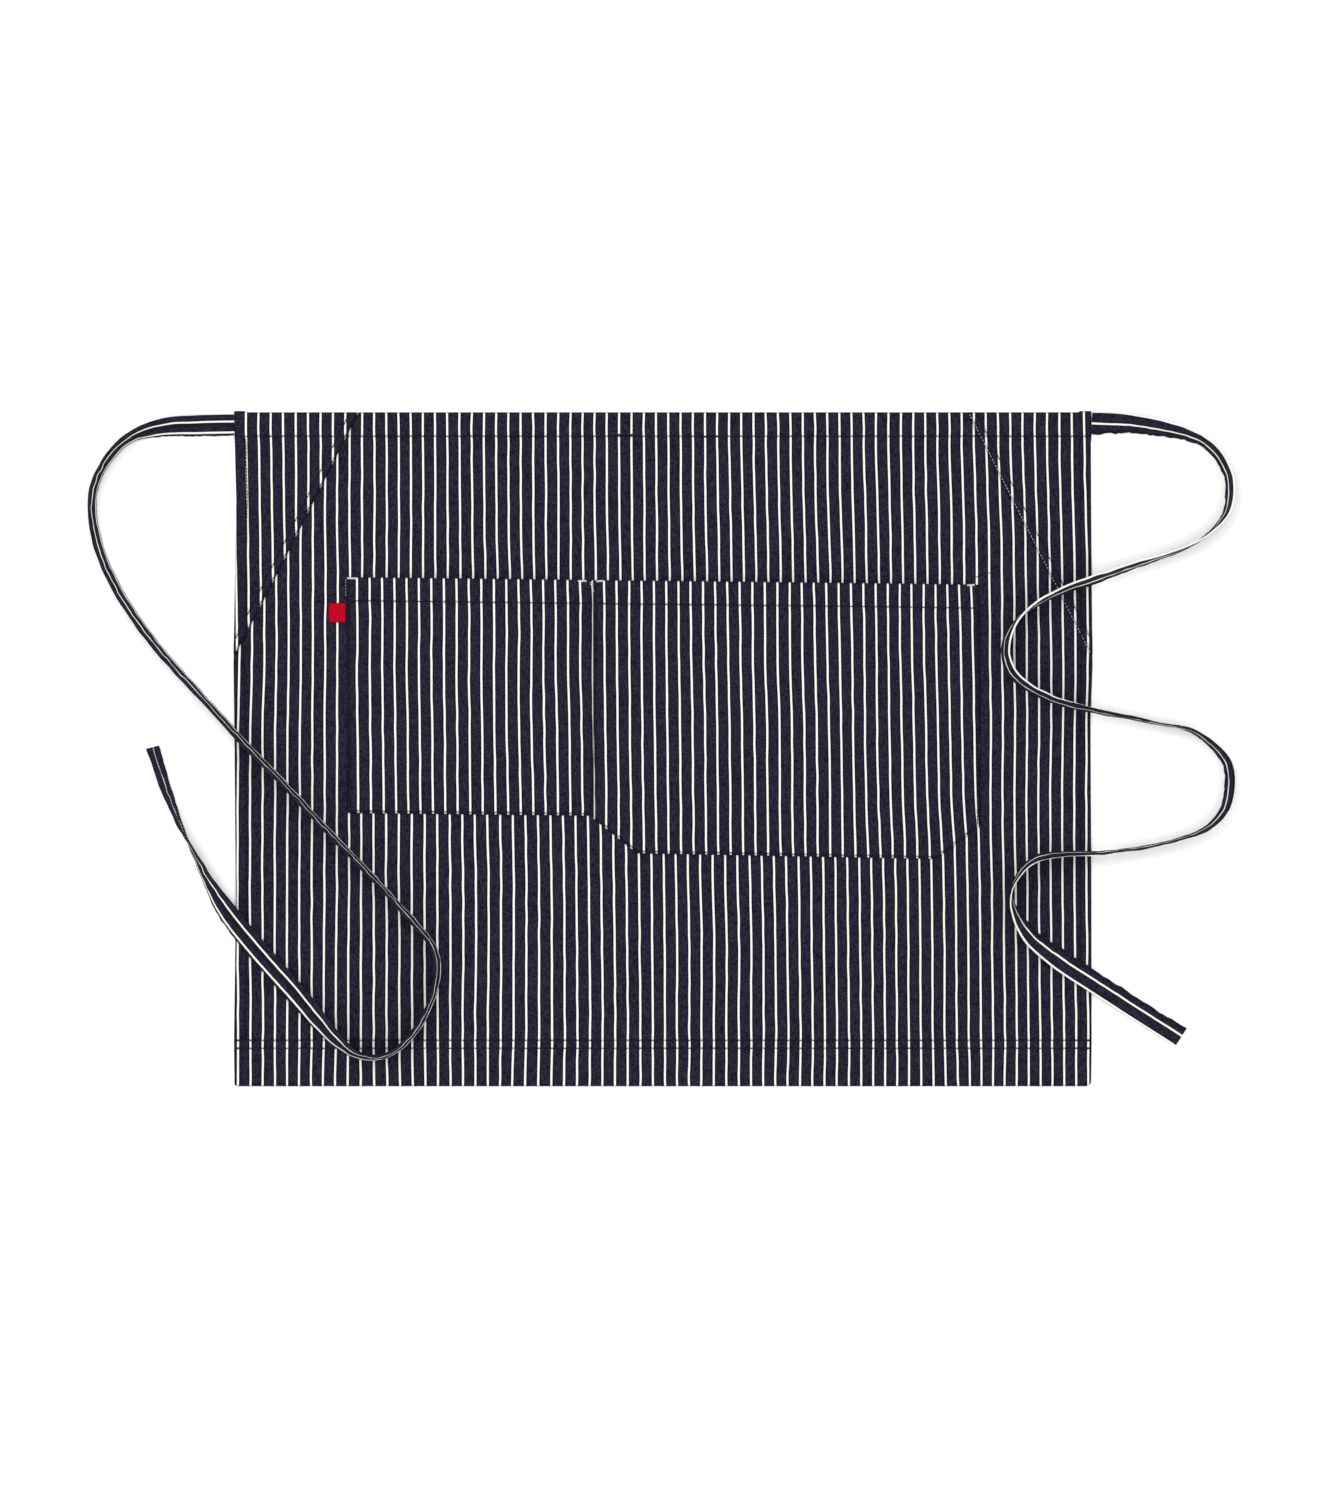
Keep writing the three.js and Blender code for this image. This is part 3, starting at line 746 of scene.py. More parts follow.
def make_main_panel(sizes):
    """The main panel: hemmed round, with its upper corners cut off under the corner panels."""
    lap_across = CORNER_LAP * CORNER_FOLD / CORNER_DOWN_SIDE
    low_edge = 2 * HALF_LENGTH
    downs = stations(
        *edge_stretches(5 * MM),
        (5 * MM, 20 * MM, 1.8 * MM),
        (20 * MM, 27 * MM, 0.8 * MM),
        (27 * MM, low_edge - 49 * MM, 5.2 * MM),
        (low_edge - 49 * MM, low_edge - 34 * MM, 0.85 * MM),
        (low_edge - 34 * MM, low_edge - 4 * MM, 2 * MM),
    )
    bottom = low_edge - stations(*edge_stretches(4 * MM))[::-1]
    downs = np.concatenate([downs, bottom[1:]])
    side = side_hem_stations(14 * MM)
    rows = []
    for down in downs:
        edge = HALF_WIDTH - max(0.0, fold_inset(down) - lap_across)
        inner = edge - side[-1]
        middle = np.linspace(-inner, inner, 234)
        rows.append(np.concatenate([-edge + side[:-1], middle, edge - side[:-1][::-1]]))
    x = np.array(rows)
    y = np.repeat((HALF_LENGTH - downs)[:, None], x.shape[1], axis=1)
    lower, upper, painted_shade = body_layers(x, y, side_hem=False)
    hemmed_lower, hemmed_upper, hemmed_painted_shade = body_layers(x, y, side_hem=True)
    low_part = ramp(HALF_LENGTH - y, CORNER_DOWN_SIDE - 6 * MM, CORNER_DOWN_SIDE + 4 * MM)
    lower = lower + (hemmed_lower - lower) * low_part
    upper = upper + (hemmed_upper - upper) * low_part
    painted_shade = painted_shade + (hemmed_painted_shade - painted_shade) * low_part
    under_corner = ramp(beyond_fold(x, y), -2.5 * MM, -0.5 * MM)
    upper = upper + (CLOTH - 0.1 * MM - upper) * under_corner
    lower = lower * (1 - under_corner)
    edge = np.abs(x[:, :1])
    inset = np.minimum(edge - np.abs(x), np.minimum(HALF_LENGTH - y, y + HALF_LENGTH))
    lower, upper = thinned(lower, upper, rounded(inset, 1.0 * MM))
    moved_y = round_bottom_corners(x, y)
    moved_x = x + sway(x, HALF_LENGTH - y)
    stripes = body_stripes(moved_x, y)
    # Painted shade on the folded edges, joined with the painted seam shade.
    painted_shade = np.maximum(painted_shade, fold_edge_shade(inset))
    cloth = cloth_sheet("panel_cloth", moved_x, moved_y, lower, upper, stripes, painted_shade)
    dress(cloth, material("panel_twill", striped_twill, sizes, 1), "main_cloth", "main_panel")


def corner_layers(x, y):
    """Lower side, upper side and painted seam shade of a corner panel, with its edges still square."""
    beyond = beyond_fold(x, y)
    climb = (CLOTH + AIR) * ramp(beyond, CORNER_LAP + CORNER_RISE, CORNER_LAP)
    lower, upper, painted_shade = body_layers(x, y, side_hem=True)
    lapped = ramp(beyond, CORNER_LAP + 5 * MM, CORNER_LAP)
    turned = ramp(beyond, CORNER_LAP + 0.5 * MM, CORNER_LAP)
    lap_upper = climb + CLOTH * (1 + 0.45 * turned)
    for row, seed in ((CORNER_EDGE_ROW, 81), (CORNER_SECOND_ROW, 82)):
        pull = 0.75 + 0.5 * waviness(y, x * 0, 7 * MM, seed)
        lap_upper = lap_upper - 0.26 * MM * pull * groove(beyond - row, 0.9 * MM)
        # Painted shade along the two felling rows.
        painted_shade = np.maximum(painted_shade, SEAM_SHADE * pull * groove(beyond - row, 0.85 * MM))
    swell = 0.16 * MM * waviness(y, x, 9 * MM, 83) * groove(beyond - 4 * MM, 4 * MM)
    upper = upper * (1 - lapped) + (lap_upper + swell) * lapped
    lower = lower * (1 - lapped) + climb * lapped
    return lower, np.maximum(upper, lower + 0.6 * CLOTH), painted_shade


def make_corner_panel(sizes, side):
    """A corner panel, whose folded slanted edge laps over the main panel. side is -1 or 1."""
    across = CORNER_FOLD / CORNER_DOWN_SIDE
    outer = side_hem_stations(13 * MM)
    lap = across * stations(*edge_stretches(2.5 * MM), (2.5 * MM, 14 * MM, 0.95 * MM))
    tip = CORNER_DOWN_SIDE * (1 - 1.5 * MM / CORNER_ALONG_WAIST)
    downs = stations(
        *edge_stretches(5 * MM),
        (5 * MM, 20 * MM, 1.8 * MM),
        (20 * MM, 27 * MM, 0.8 * MM),
        (27 * MM, tip, 2.4 * MM),
    )
    rows = []
    for down in downs:
        width = float(fold_inset(down))
        shrink = min(1.0, 0.86 * width / (outer[-1] + lap[-1]))
        near, far = outer * shrink, width - lap[::-1] * shrink
        middle = np.linspace(near[-1], far[0], 24)
        rows.append(np.concatenate([near[:-1], middle, far[1:]]))
    inset = np.array(rows)
    x = inset - HALF_WIDTH
    y = np.repeat((HALF_LENGTH - downs)[:, None], x.shape[1], axis=1)
    lower, upper, painted_shade = corner_layers(x, y)
    from_fold = np.maximum(0, beyond_fold(x, y))
    from_edge = np.minimum(np.minimum(inset, HALF_LENGTH - y), from_fold)
    lower, upper = thinned(lower, upper, rounded(from_edge, 1.0 * MM))
    if side > 0:
        x, y, lower, upper = (grid[:, ::-1] for grid in (-x, y, lower, upper))
        painted_shade, from_edge = painted_shade[:, ::-1], from_edge[:, ::-1]
        moved = x + sway(x, HALF_LENGTH - y)
        stripes = body_stripes(moved, y)
        name, node = "corner_cloth_right", "corner_panel_right"
    else:
        moved = x + sway(x, HALF_LENGTH - y)
        stripes = left_corner_stripes(moved, y)
        name, node = "corner_cloth_left", "corner_panel_left"
    # Painted shade on the folded edges, joined with the painted seam shade.
    painted_shade = np.maximum(painted_shade, fold_edge_shade(from_edge))
    near_end = ramp(np.abs(x), HALF_WIDTH - 13 * MM, HALF_WIDTH - 10 * MM)
    raised = 1.2 * MM * near_end * ramp(y, HALF_LENGTH - 8 * MM, HALF_LENGTH)
    cloth = cloth_sheet(name, moved, y + raised, lower, upper, stripes, painted_shade)
    dress(cloth, material("corner_twill", striped_twill, sizes, 2), "corner_cloth", node)


def pocket_surface(name, x, y):
    """Lower side, upper side, distance to the edge and painted shade of a patch pocket at a place:
    shade along its stitch rows and on its folded edges.
    """
    left, right, bottom_y, _, seed = POCKETS[name]
    share = (x - left) / (right - left)
    depth = np.clip((y - bottom_y(x)) / (mouth_y(x) - bottom_y(x)), 0, 1)
    crown = 1 - np.abs(2 * share - 1) ** 4
    lift = POCKET_SLACK * crown * np.sin(depth * math.pi / 2) ** 0.7
    on_slant = (x - left < LARGE_CORNER_ACROSS) | (right - x < LARGE_CORNER_ACROSS)
    slope = np.where(on_slant, LARGE_SLANT_COSINE, 1)
    to_bottom = (y - bottom_y(x)) * (slope if name == "large" else 1)
    to_side = np.minimum(x - left, right - x)
    to_seam = np.minimum(to_side, to_bottom)
    turned = ramp(to_seam, 10.5 * MM, 8.5 * MM)
    hem = ramp(mouth_y(x) - y, POCKET_HEM + 2 * MM, POCKET_HEM + 1 * MM)
    thickness = CLOTH * (1 + 0.55 * np.maximum(turned, hem))
    lower = POCKET_BASE + lift
    upper = lower + thickness
    pull = 0.75 + 0.5 * waviness(x + y, x - y, 7 * MM, seed)
    edge_row = groove(to_seam - POCKET_EDGE_ROW, 0.95 * MM)
    hem_row = groove(mouth_y(x) - y - POCKET_HEM, 0.95 * MM)
    upper = upper - 0.3 * MM * pull * edge_row - 0.24 * MM * pull * hem_row
    # Painted shade along the edge and hem stitch rows; the return adds painted shade on the folded
    # edges.
    painted_shade = SEAM_SHADE * pull * np.maximum(edge_row, hem_row)
    pucker = waviness(x, y, 7 * MM, seed + 1) * groove(to_seam - 4 * MM, 5 * MM)
    upper = upper + 0.2 * MM * pucker
    upper = upper + 0.14 * MM * waviness(x, y, 30 * MM, seed + 2)
    to_edge = np.minimum(to_seam, mouth_y(x) - y)
    return lower, upper, to_edge, np.maximum(painted_shade, fold_edge_shade(to_edge))


def make_pocket(sizes, name, columns, stripes_of):
    """A patch pocket: sewn down at its sides and bottom, open at its hemmed mouth."""
    bottom_y = POCKETS[name][2]
    top = stations(*edge_stretches(3 * MM), (3 * MM, 20 * MM, 2 * MM), (20 * MM, 25 * MM, 0.8 * MM))
    low = stations(*edge_stretches(4.5 * MM), (4.5 * MM, 12 * MM, 1.2 * MM))
    grid_x, grid_y = [], []
    for x in columns:
        mouth, bottom = float(mouth_y(x)), float(bottom_y(x))
        middle = np.linspace(mouth - top[-1], bottom + low[-1], 82)
        grid_y.append(np.concatenate([mouth - top[:-1], middle, bottom + low[:-1][::-1]]))
        grid_x.append(np.full(len(grid_y[-1]), x))
    x, y = np.array(grid_x).T, np.array(grid_y).T
    lower, upper, to_edge, painted_shade = pocket_surface(name, x, y)
    lower, upper = thinned(lower, upper, rounded(to_edge, 0.9 * MM))
    x = x + pocket_lean(name, x, y)
    cloth = cloth_sheet(f"pocket_cloth_{name}", x, y, lower, upper, stripes_of(x, y), painted_shade)
    finish = material("pocket_twill", striped_twill, sizes, 3)
    return dress(cloth, finish, "pocket_cloth", f"pocket_{name}")


def make_pockets(sizes):
    """Both patch pockets."""
    near = stations(*edge_stretches(4.5 * MM), (4.5 * MM, 12 * MM, 1.2 * MM))
    left, right = POCKETS["small"][:2]
    inner = np.linspace(left + near[-1], right - near[-1], 84)
    columns = np.concatenate([left + near[:-1], inner, right - near[:-1][::-1]])
    small = make_pocket(sizes, "small", columns, small_pocket_stripes)
    left, right = POCKETS["large"][:2]
    corner = LARGE_CORNER_ACROSS
    slant = np.linspace(near[-1], corner, 13)[1:]
    inner = np.linspace(left + corner, right - corner, 98)
    edge = np.concatenate([near, slant[:-1]])
    columns = np.concatenate([left + edge, inner, right - edge[::-1]])
    large = make_pocket(sizes, "large", columns, large_pocket_stripes)


def spline(route, name, steps):
    """Places, directions, tilt and ground along a tie's route, smooth through its points."""
    side = -1 if name == "left" else 1
    xy = np.array([(side * (HALF_WIDTH + row[0]), HALF_LENGTH - row[1]) for row in route])
    padded_xy = np.vstack([2 * xy[0] - xy[1], xy, 2 * xy[-1] - xy[-2]])
    places = []
    for k in range(len(xy) - 1):
        p0, p1, p2, p3 = padded_xy[k : k + 4]
        gaps = [np.linalg.norm(b - a) for a, b in ((p0, p1), (p1, p2), (p2, p3))]
        t0, t1, t2, t3 = np.cumsum([0] + [math.sqrt(gap) for gap in gaps])
        for i in range(steps):
            t = t1 + (t2 - t1) * i / steps
            a1 = ((t1 - t) * p0 + (t - t0) * p1) / (t1 - t0)
            a2 = ((t2 - t) * p1 + (t - t1) * p2) / (t2 - t1)
            a3 = ((t3 - t) * p2 + (t - t2) * p3) / (t3 - t2)
            b1 = ((t2 - t) * a1 + (t - t0) * a2) / (t2 - t0)
            b2 = ((t3 - t) * a2 + (t - t1) * a3) / (t3 - t1)
            places.append(((t2 - t) * b1 + (t - t1) * b2) / (t2 - t1))
    places = np.array(places + [xy[-1]])
    row = np.arange(len(places)) / steps
    tilt = np.radians(np.interp(row, range(len(route)), [r[2] for r in route]))
    over = np.interp(row, range(len(route)), [r[3] for r in route])
    for _ in range(20):
        tilt[1:-1] = (tilt[:-2] + 2 * tilt[1:-1] + tilt[2:]) / 4
    travel = np.gradient(places, axis=0)
    travel /= np.linalg.norm(travel, axis=1)[:, None]
    return places, travel, tilt, over


def tie_frame(name):
    """Centre line of a tie, with its travel, across and front directions and its length so far."""
    route = LEFT_TIE if name == "left" else RIGHT_TIE
    places, travel, tilt, over = spline(route, name, 26)
    zero = np.zeros(len(places))
    forward = np.column_stack([travel, zero])
    leftward = np.column_stack([-travel[:, 1], travel[:, 0], zero])
    up = np.tile([0.0, 0.0, 1.0], (len(places), 1))
    cosine, sine = np.cos(tilt)[:, None], np.sin(tilt)[:, None]
    across = leftward * cosine + up * sine
    front = up * cosine - leftward * sine
    half = (TIE_WIDTH * np.abs(np.sin(tilt)) + TIE_THICKNESS * np.abs(np.cos(tilt))) / 2
    centre = np.column_stack([places, TIE_LIFT + TIE_OVER_BODY * over + half])
    length = np.concatenate([[0], np.cumsum(np.linalg.norm(np.diff(centre, axis=0), axis=1))])
    return centre, forward, across, front, length


# Where the five stripes lie round each tie, in metres from the middle of its edge on the left of
# travel: positive over the front, negative over the back.
TIE_STRIPES = {
    "left": (-0.0220, -0.0106, 0.0030, 0.0132, 0.0244),
    "right": (-0.0237, -0.0121, -0.0009, 0.0104, 0.0221),
}
# How far those stripes slip round towards the front, in metres. Columns: distance along the tie,
# left tie, right tie.
TIE_SLIP = (
    (0.00, 0.0000, -0.0003),
    (0.06, 0.0002, 0.0008),
    (0.12, 0.0003, 0.0015),
    (0.22, 0.0000, 0.0016),
    (0.34, -0.0001, 0.0010),
    (0.46, -0.0003, 0.0006),
    (0.56, 0.0000, -0.0002),
    (0.88, 0.0003, -0.0001),
    (1.22, 0.0000, 0.0001),
)
# Columns: seed of the unevenness, scallops of the seam's edge, share from the middle at which they
# start, bulges of the faces.
TIE_UNEVENNESS = {
    "left": (131, 0.8 * MM, 0.7, 0.75 * MM),
    "right": (141, 1.5 * MM, 0, 0.5 * MM),
}
TIE_SECTION = (-1, -0.985, -0.94, -0.87, -0.8, -0.7, -0.5, -0.25, -0.08)
TIE_SECTION = (*TIE_SECTION, 0, *(-share for share in reversed(TIE_SECTION)))


def tie_seam_side(name):
    """The edge that the seam runs along, as a share across: 1 is the left of travel."""
    return 1 if name == "left" else -1


def tie_seam(name):
    """Where the seam's row runs, as a share across the tie."""
    return 0.87 if name == "left" else -0.8


def tie_thickness(share, length, name):
    """Half the thickness of a tie at a share across it."""
    end = np.sqrt(np.maximum(0, 1 - np.maximum(0, (np.abs(share) - 0.9) / 0.1) ** 2))
    seam = groove(share - tie_seam(name), 0.08)
    middle = groove(share, 0.09) if name == "left" else 0
    pull = 0.7 + 0.5 * waviness(length, share * 0, 6 * MM, 121)
    return TIE_THICKNESS / 2 * (0.08 + 0.9 * end - 0.24 * pull * (seam + middle))


def tie_point(name, grid_share, sign, centre, across, front, length):
    """A point on the surface of a tie, with its scallops, flutter and bulges."""
    seed, scallops, ragged_from, puffs = TIE_UNEVENNESS[name]
    side = tie_seam_side(name)
    toward_seam = grid_share * side
    none = length * 0
    ragged = 0.7 * waviness(length, none, 3.4 * MM, seed)
    ragged = ragged + 0.5 * waviness(length, none, 10 * MM, seed + 3)
    scallop = scallops * ragged * ramp(toward_seam, ragged_from, 1)
    flutter = 0.42 * MM * waviness(length, none, 9 * MM, seed + 1) * ramp(toward_seam, -0.2, 1)
    fold_flutter = 0.6 * MM * waviness(length, none, 11 * MM, seed + 2) * ramp(toward_seam, 0, -1)
    bulge = waviness(length, 9 * MM * grid_share, 6.5 * MM, seed + 4)
    puff = puffs * bulge * (1 - grid_share**2)
    half = tie_thickness(grid_share, length, name)
    sideways = TIE_WIDTH / 2 * grid_share + scallop * side
    outwards = sign * half + flutter + fold_flutter + puff
    place = centre + across * sideways[..., None] + front * outwards[..., None]
    place[:, 2] = np.maximum(place[:, 2], FLOOR_CLEARANCE)
    return place


def make_tie(sizes, name):
    """A waist tie: a folded strip with a seam along one edge, in the curves in which it lies."""
    centre, forward, across, front, length = tie_frame(name)
    shares = [(s, 1) for s in TIE_SECTION] + [(s, -1) for s in TIE_SECTION[-2:0:-1]]
    around = len(shares)
    columns = []
    for share, sign in shares:
        grid = np.full(len(centre), float(share))
        columns.append(tie_point(name, grid, sign, centre, across, front, length))
    points = np.stack(columns, 1).reshape(-1, 3)
    from_left = [(1 - share) * TIE_WIDTH / 2 * sign for share, sign in shares] + [-TIE_WIDTH]
    column = 1 if name == "left" else 2
    slip = np.interp(length, [row[0] for row in TIE_SLIP], [row[column] for row in TIE_SLIP])
    slip = slip + 0.2 * MM * waviness(length, length * 0, 22 * MM, 191)
    measured = np.array(from_left) - slip[:, None]
    number = np.interp(measured, TIE_STRIPES[name], range(-2, 3))
    count = len(centre)
    # Painted shade along the tie's stitch rows.
    depth = [groove(share - tie_seam(name), 0.07) for share, _ in shares]
    if name == "left":
        depth = [max(d, groove(share, 0.08)) for d, (share, _) in zip(depth, shares)]
    painted_shade = SEAM_SHADE * np.tile(depth, (count, 1))
    index = np.arange(count * around).reshape(count, around)
    after = np.roll(index, -1, axis=1)
    faces = np.stack([after[:-1], index[:-1], index[1:], after[1:]], -1).reshape(-1, 4).tolist()
    grid_v = np.repeat(length[:-1, None], around, axis=1)
    next_v = np.repeat(length[1:, None], around, axis=1)
    u = np.stack([number[:-1, 1:], number[:-1, :-1], number[1:, :-1], number[1:, 1:]], -1)
    v = np.stack([grid_v, grid_v, next_v, next_v], -1)
    uv = np.stack([u, v], -1).reshape(-1, 2).tolist()
    for ends, row in ((index[0], 0), (index[-1][::-1], -1)):
        faces.append([int(k) for k in ends])
        uv += [(number[row, int(k) % around], length[row]) for k in ends]
    cloth = mesh_object(f"tie_cloth_{name}", points, faces, uv, 80, painted_shade)
    fix_normals(cloth)
    dress(cloth, material("tie_twill", striped_twill, sizes, 4), "tie_cloth", f"tie_{name}")
    stitches = tie_stitches(sizes, name, centre, forward, across, front, length)
    centre[::8].tolist() + [centre[-1].tolist()]


def fix_normals(obj):
    """Turns all faces of a closed piece outwards."""
    shape = bmesh.new()
    shape.from_mesh(obj.data)
    bmesh.ops.recalc_face_normals(shape, faces=shape.faces)
    shape.to_mesh(obj.data)
    shape.free()


def stitch_mesh(name, centres, along, normals, length, radius, finish, sink=0.5):
    """Many stitches as one mesh: each is a short bowed length of thread, its ends in the cloth."""
    centres, along, normals = (np.asarray(v, dtype=float) for v in (centres, along, normals))
    along = along / np.linalg.norm(along, axis=1)[:, None]
    sideways = np.cross(normals, along)
    sideways /= np.linalg.norm(sideways, axis=1)[:, None]
    normals = np.cross(along, sideways)
    profile = ((-0.5, 0.25), (-0.4, 0.75), (-0.18, 1.0), (0.18, 1.0), (0.4, 0.75), (0.5, 0.25))
    sides = 6
    rings = []
    for place, width in profile:
        bow = radius * (0.7 - sink * 6.4 * place * place)
        for k in range(sides):
            angle = 2 * math.pi * k / sides
            rings.append(
                centres
                + along * (place * length)
                + sideways * (radius * width * math.cos(angle))
                + normals * (bow + radius * width * math.sin(angle))
            )
    per = len(rings)
    points = np.stack(rings, 1).reshape(-1, 3)
    faces = []
    for ring in range(len(profile) - 1):
        for k in range(sides):
            a, b = ring * sides + k, ring * sides + (k + 1) % sides
            faces.append((a, b, b + sides, a + sides))
    caps = [tuple(range(sides - 1, -1, -1)), tuple(range(per - sides, per))]
    all_faces = []
    for number in range(len(centres)):
        start = number * per
        all_faces += [tuple(start + v for v in face) for face in faces + caps]
    made = mesh_object(name, points, all_faces, sharp=60)
    made.data.materials.append(finish)
    fix_normals(made)
    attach(made, "root")
    return made


def along_line(points, pitch=STITCH_PITCH, seed=7):
    """Middles and directions of stitches along a line of points."""
    points = np.asarray(points, dtype=float)
    lengths = np.linalg.norm(np.diff(points, axis=0), axis=1)
    travelled = np.concatenate([[0], np.cumsum(lengths)])
    count = max(2, int(travelled[-1] / pitch))
    at = (np.arange(count) + 0.5) * travelled[-1] / count
    random = np.random.RandomState(seed)
    at = np.clip(at + random.uniform(-0.1, 0.1, count) * pitch, 0, travelled[-1])
    places = np.column_stack([np.interp(at, travelled, points[:, k]) for k in range(2)])
    ahead = np.column_stack([np.interp(at + 0.2 * MM, travelled, points[:, k]) for k in range(2)])
    behind = np.column_stack([np.interp(at - 0.2 * MM, travelled, points[:, k]) for k in range(2)])
    direction = ahead - behind
    direction /= np.linalg.norm(direction, axis=1)[:, None]
    normal = np.column_stack([-direction[:, 1], direction[:, 0]])
    places = places + normal * random.uniform(-0.12, 0.12, count)[:, None] * MM
    return places, direction


def surface_stitches(
    name, lines, height, finish, length=2.75 * MM, radius=0.4 * MM, pitch=STITCH_PITCH
):
    """Stitches along lines on a surface whose height is given by a function."""
    places, directions = [], []
    for number, line in enumerate(lines):
        middle, direction = along_line(line, pitch, 200 + number)
        places.append(middle)
        directions.append(direction)
    xy, way = np.concatenate(places), np.concatenate(directions)
    z = height(xy[:, 0], xy[:, 1])
    ahead = xy + way * MM
    rise = height(ahead[:, 0], ahead[:, 1]) - z
    centres = np.column_stack([xy, z])
    along = np.column_stack([way * MM, rise])
    normals = np.tile([0.0, 0.0, 1.0], (len(centres), 1))
    return stitch_mesh(name, centres, along, normals, length, radius, finish)


def tie_stitches(sizes, name, centre, forward, across, front, length):
    """The stitch rows on both faces of a tie."""
    shares = [tie_seam(name)]
    if name == "left":
        shares.append(0.0)
    at = np.arange(2 * MM, length[-1] - 2 * MM, STITCH_PITCH)
    row = np.interp(at, length, np.arange(len(length)))
    low = np.floor(row).astype(int)
    part = (row - low)[:, None]
    high = np.minimum(low + 1, len(length) - 1)
    mixed = [v[low] * (1 - part) + v[high] * part for v in (centre, forward, across, front)]
    centres, ways, normals = [], [], []
    for share in shares:
        for sign in (1, -1):
            grid = np.full(len(at), share)
            middles = tie_point(name, grid, sign, mixed[0], mixed[2], mixed[3], at)
            middles[:, 2] = np.maximum(middles[:, 2], TIE_STITCH_CLEARANCE)
            centres.append(middles)
            ways.append(mixed[1])
            normals.append(mixed[3] * sign)
    return stitch_mesh(
        f"tie_stitches_{name}",
        np.concatenate(centres),
        np.concatenate(ways),
        np.concatenate(normals),
        2.4 * MM,
        0.32 * MM,
        dark_thread(sizes),
    )


def line_between(start, end, count=40):
    """Places on a straight line."""
    return np.linspace(start, end, count)


def make_hem_stitches(sizes):
    """Stitch rows of the waist, side and bottom hems."""
    finish = dark_thread(sizes)
    waist = HALF_LENGTH - WAIST_HEM
    edge = HALF_WIDTH - 0.8 * MM

    def height(x, y):
        beyond = beyond_fold(x, y)
        upper = panel_height(x, y)
        corner = corner_layers(-np.abs(x), y)[1]
        return np.where(beyond > 0, corner, upper)

    row = line_between((-edge, waist), (edge, waist))
    surface_stitches("stitches_waist", [row], height, finish)
    rows = []
    for up in (BOTTOM_HEM, BOTTOM_SECOND_ROW):
        y = up - HALF_LENGTH
        rows.append(line_between((-edge, y), (edge, y)))
    surface_stitches("stitches_bottom", rows, height, finish)
    sides = []
    for side in (-1, 1):
        x = side * (HALF_WIDTH - SIDE_HEM)
        downs = np.linspace(WAIST_HEM + 1 * MM, 2 * HALF_LENGTH - BOTTOM_HEM - 1 * MM, 120)
        places = np.full(len(downs), x)
        sides.append(np.column_stack([places + sway(places, downs), HALF_LENGTH - downs]))
    surface_stitches("stitches_sides", sides, height, finish)


def make_corner_stitches(sizes):
    """Two felling rows beside the fold of each corner panel."""
    dark = dark_thread(sizes)
    silver = material("silver_thread", sewing_thread, sizes.silver_shade, sizes.silver_light)

    def height(x, y):
        return corner_layers(-np.abs(x), y)[1]

    for side in (-1, 1):
        lines = []
        for beyond in (CORNER_EDGE_ROW, CORNER_SECOND_ROW):
            across = beyond * CORNER_FOLD / CORNER_DOWN_SIDE
            down_end = CORNER_DOWN_SIDE * (1 - (across + 0.8 * MM) / CORNER_ALONG_WAIST)
            start = (HALF_WIDTH - CORNER_ALONG_WAIST + across, HALF_LENGTH - 1 * MM)
            end = (HALF_WIDTH - 0.8 * MM, HALF_LENGTH - down_end)
            line = line_between(start, end)
            line[:, 0] *= side
            lines.append(line)
        if side < 0:
            surface_stitches("stitches_corner_left", lines, height, dark)
            continue
        surface_stitches(
            "stitches_corner_right_edge", lines[:1], height, silver,
            length=2.0 * MM, radius=0.33 * MM, pitch=3.4 * MM,
        )
        surface_stitches("stitches_corner_right", lines[1:], height, dark)


def pocket_lines(name):
    """Stitch lines of a pocket: down one side, along the bottom, up the other, and its hem."""
    left, right, bottom_y = POCKETS[name][:3]
    row = POCKET_EDGE_ROW
    xs = np.linspace(left + row, right - row, 90)
    around = [(left + row, float(mouth_y(left)) - 1 * MM)]
    for x in xs:
        on_slant = name == "large" and min(x - left, right - x) < LARGE_CORNER_ACROSS
        around.append((x, float(bottom_y(x)) + row * (LARGE_SLANT_ROW if on_slant else 1)))
    around.append((right - row, float(mouth_y(right)) - 1 * MM))
    around = np.array(around)
    xs = np.linspace(left + row, right - row, 60)
    hem = np.column_stack([xs, mouth_y(xs) - POCKET_HEM])
    for line in (around, hem):
        line[:, 0] += pocket_lean(name, line[:, 0], line[:, 1])
    return [around, hem]


def make_pocket_stitches(sizes):
    """Edge and hem stitching of both pockets."""
    for name in POCKETS:

        def height(x, y):
            return pocket_surface(name, x - pocket_lean(name, x, y), y)[1]

        surface_stitches(f"stitches_pocket_{name}", pocket_lines(name), height, dark_thread(sizes))


def bartack(centre, length, turn, height):
    """Middles and directions of the close zigzag threads of one bartack."""
    count = int(length / (0.42 * MM))
    angle = math.radians(turn)
    way = np.array([math.cos(angle), math.sin(angle)])
    side = np.array([-way[1], way[0]])
    at = np.linspace(-length / 2, length / 2, count)
    xy = np.array(centre) + at[:, None] * way
    lean = np.where(np.arange(count) % 2, 0.35, -0.35)[:, None]
    direction = side + way * lean
    z = height(xy[:, 0], xy[:, 1]) + 0.12 * MM
    along = np.column_stack([direction, np.zeros(count)])
    return np.column_stack([xy, z]), along


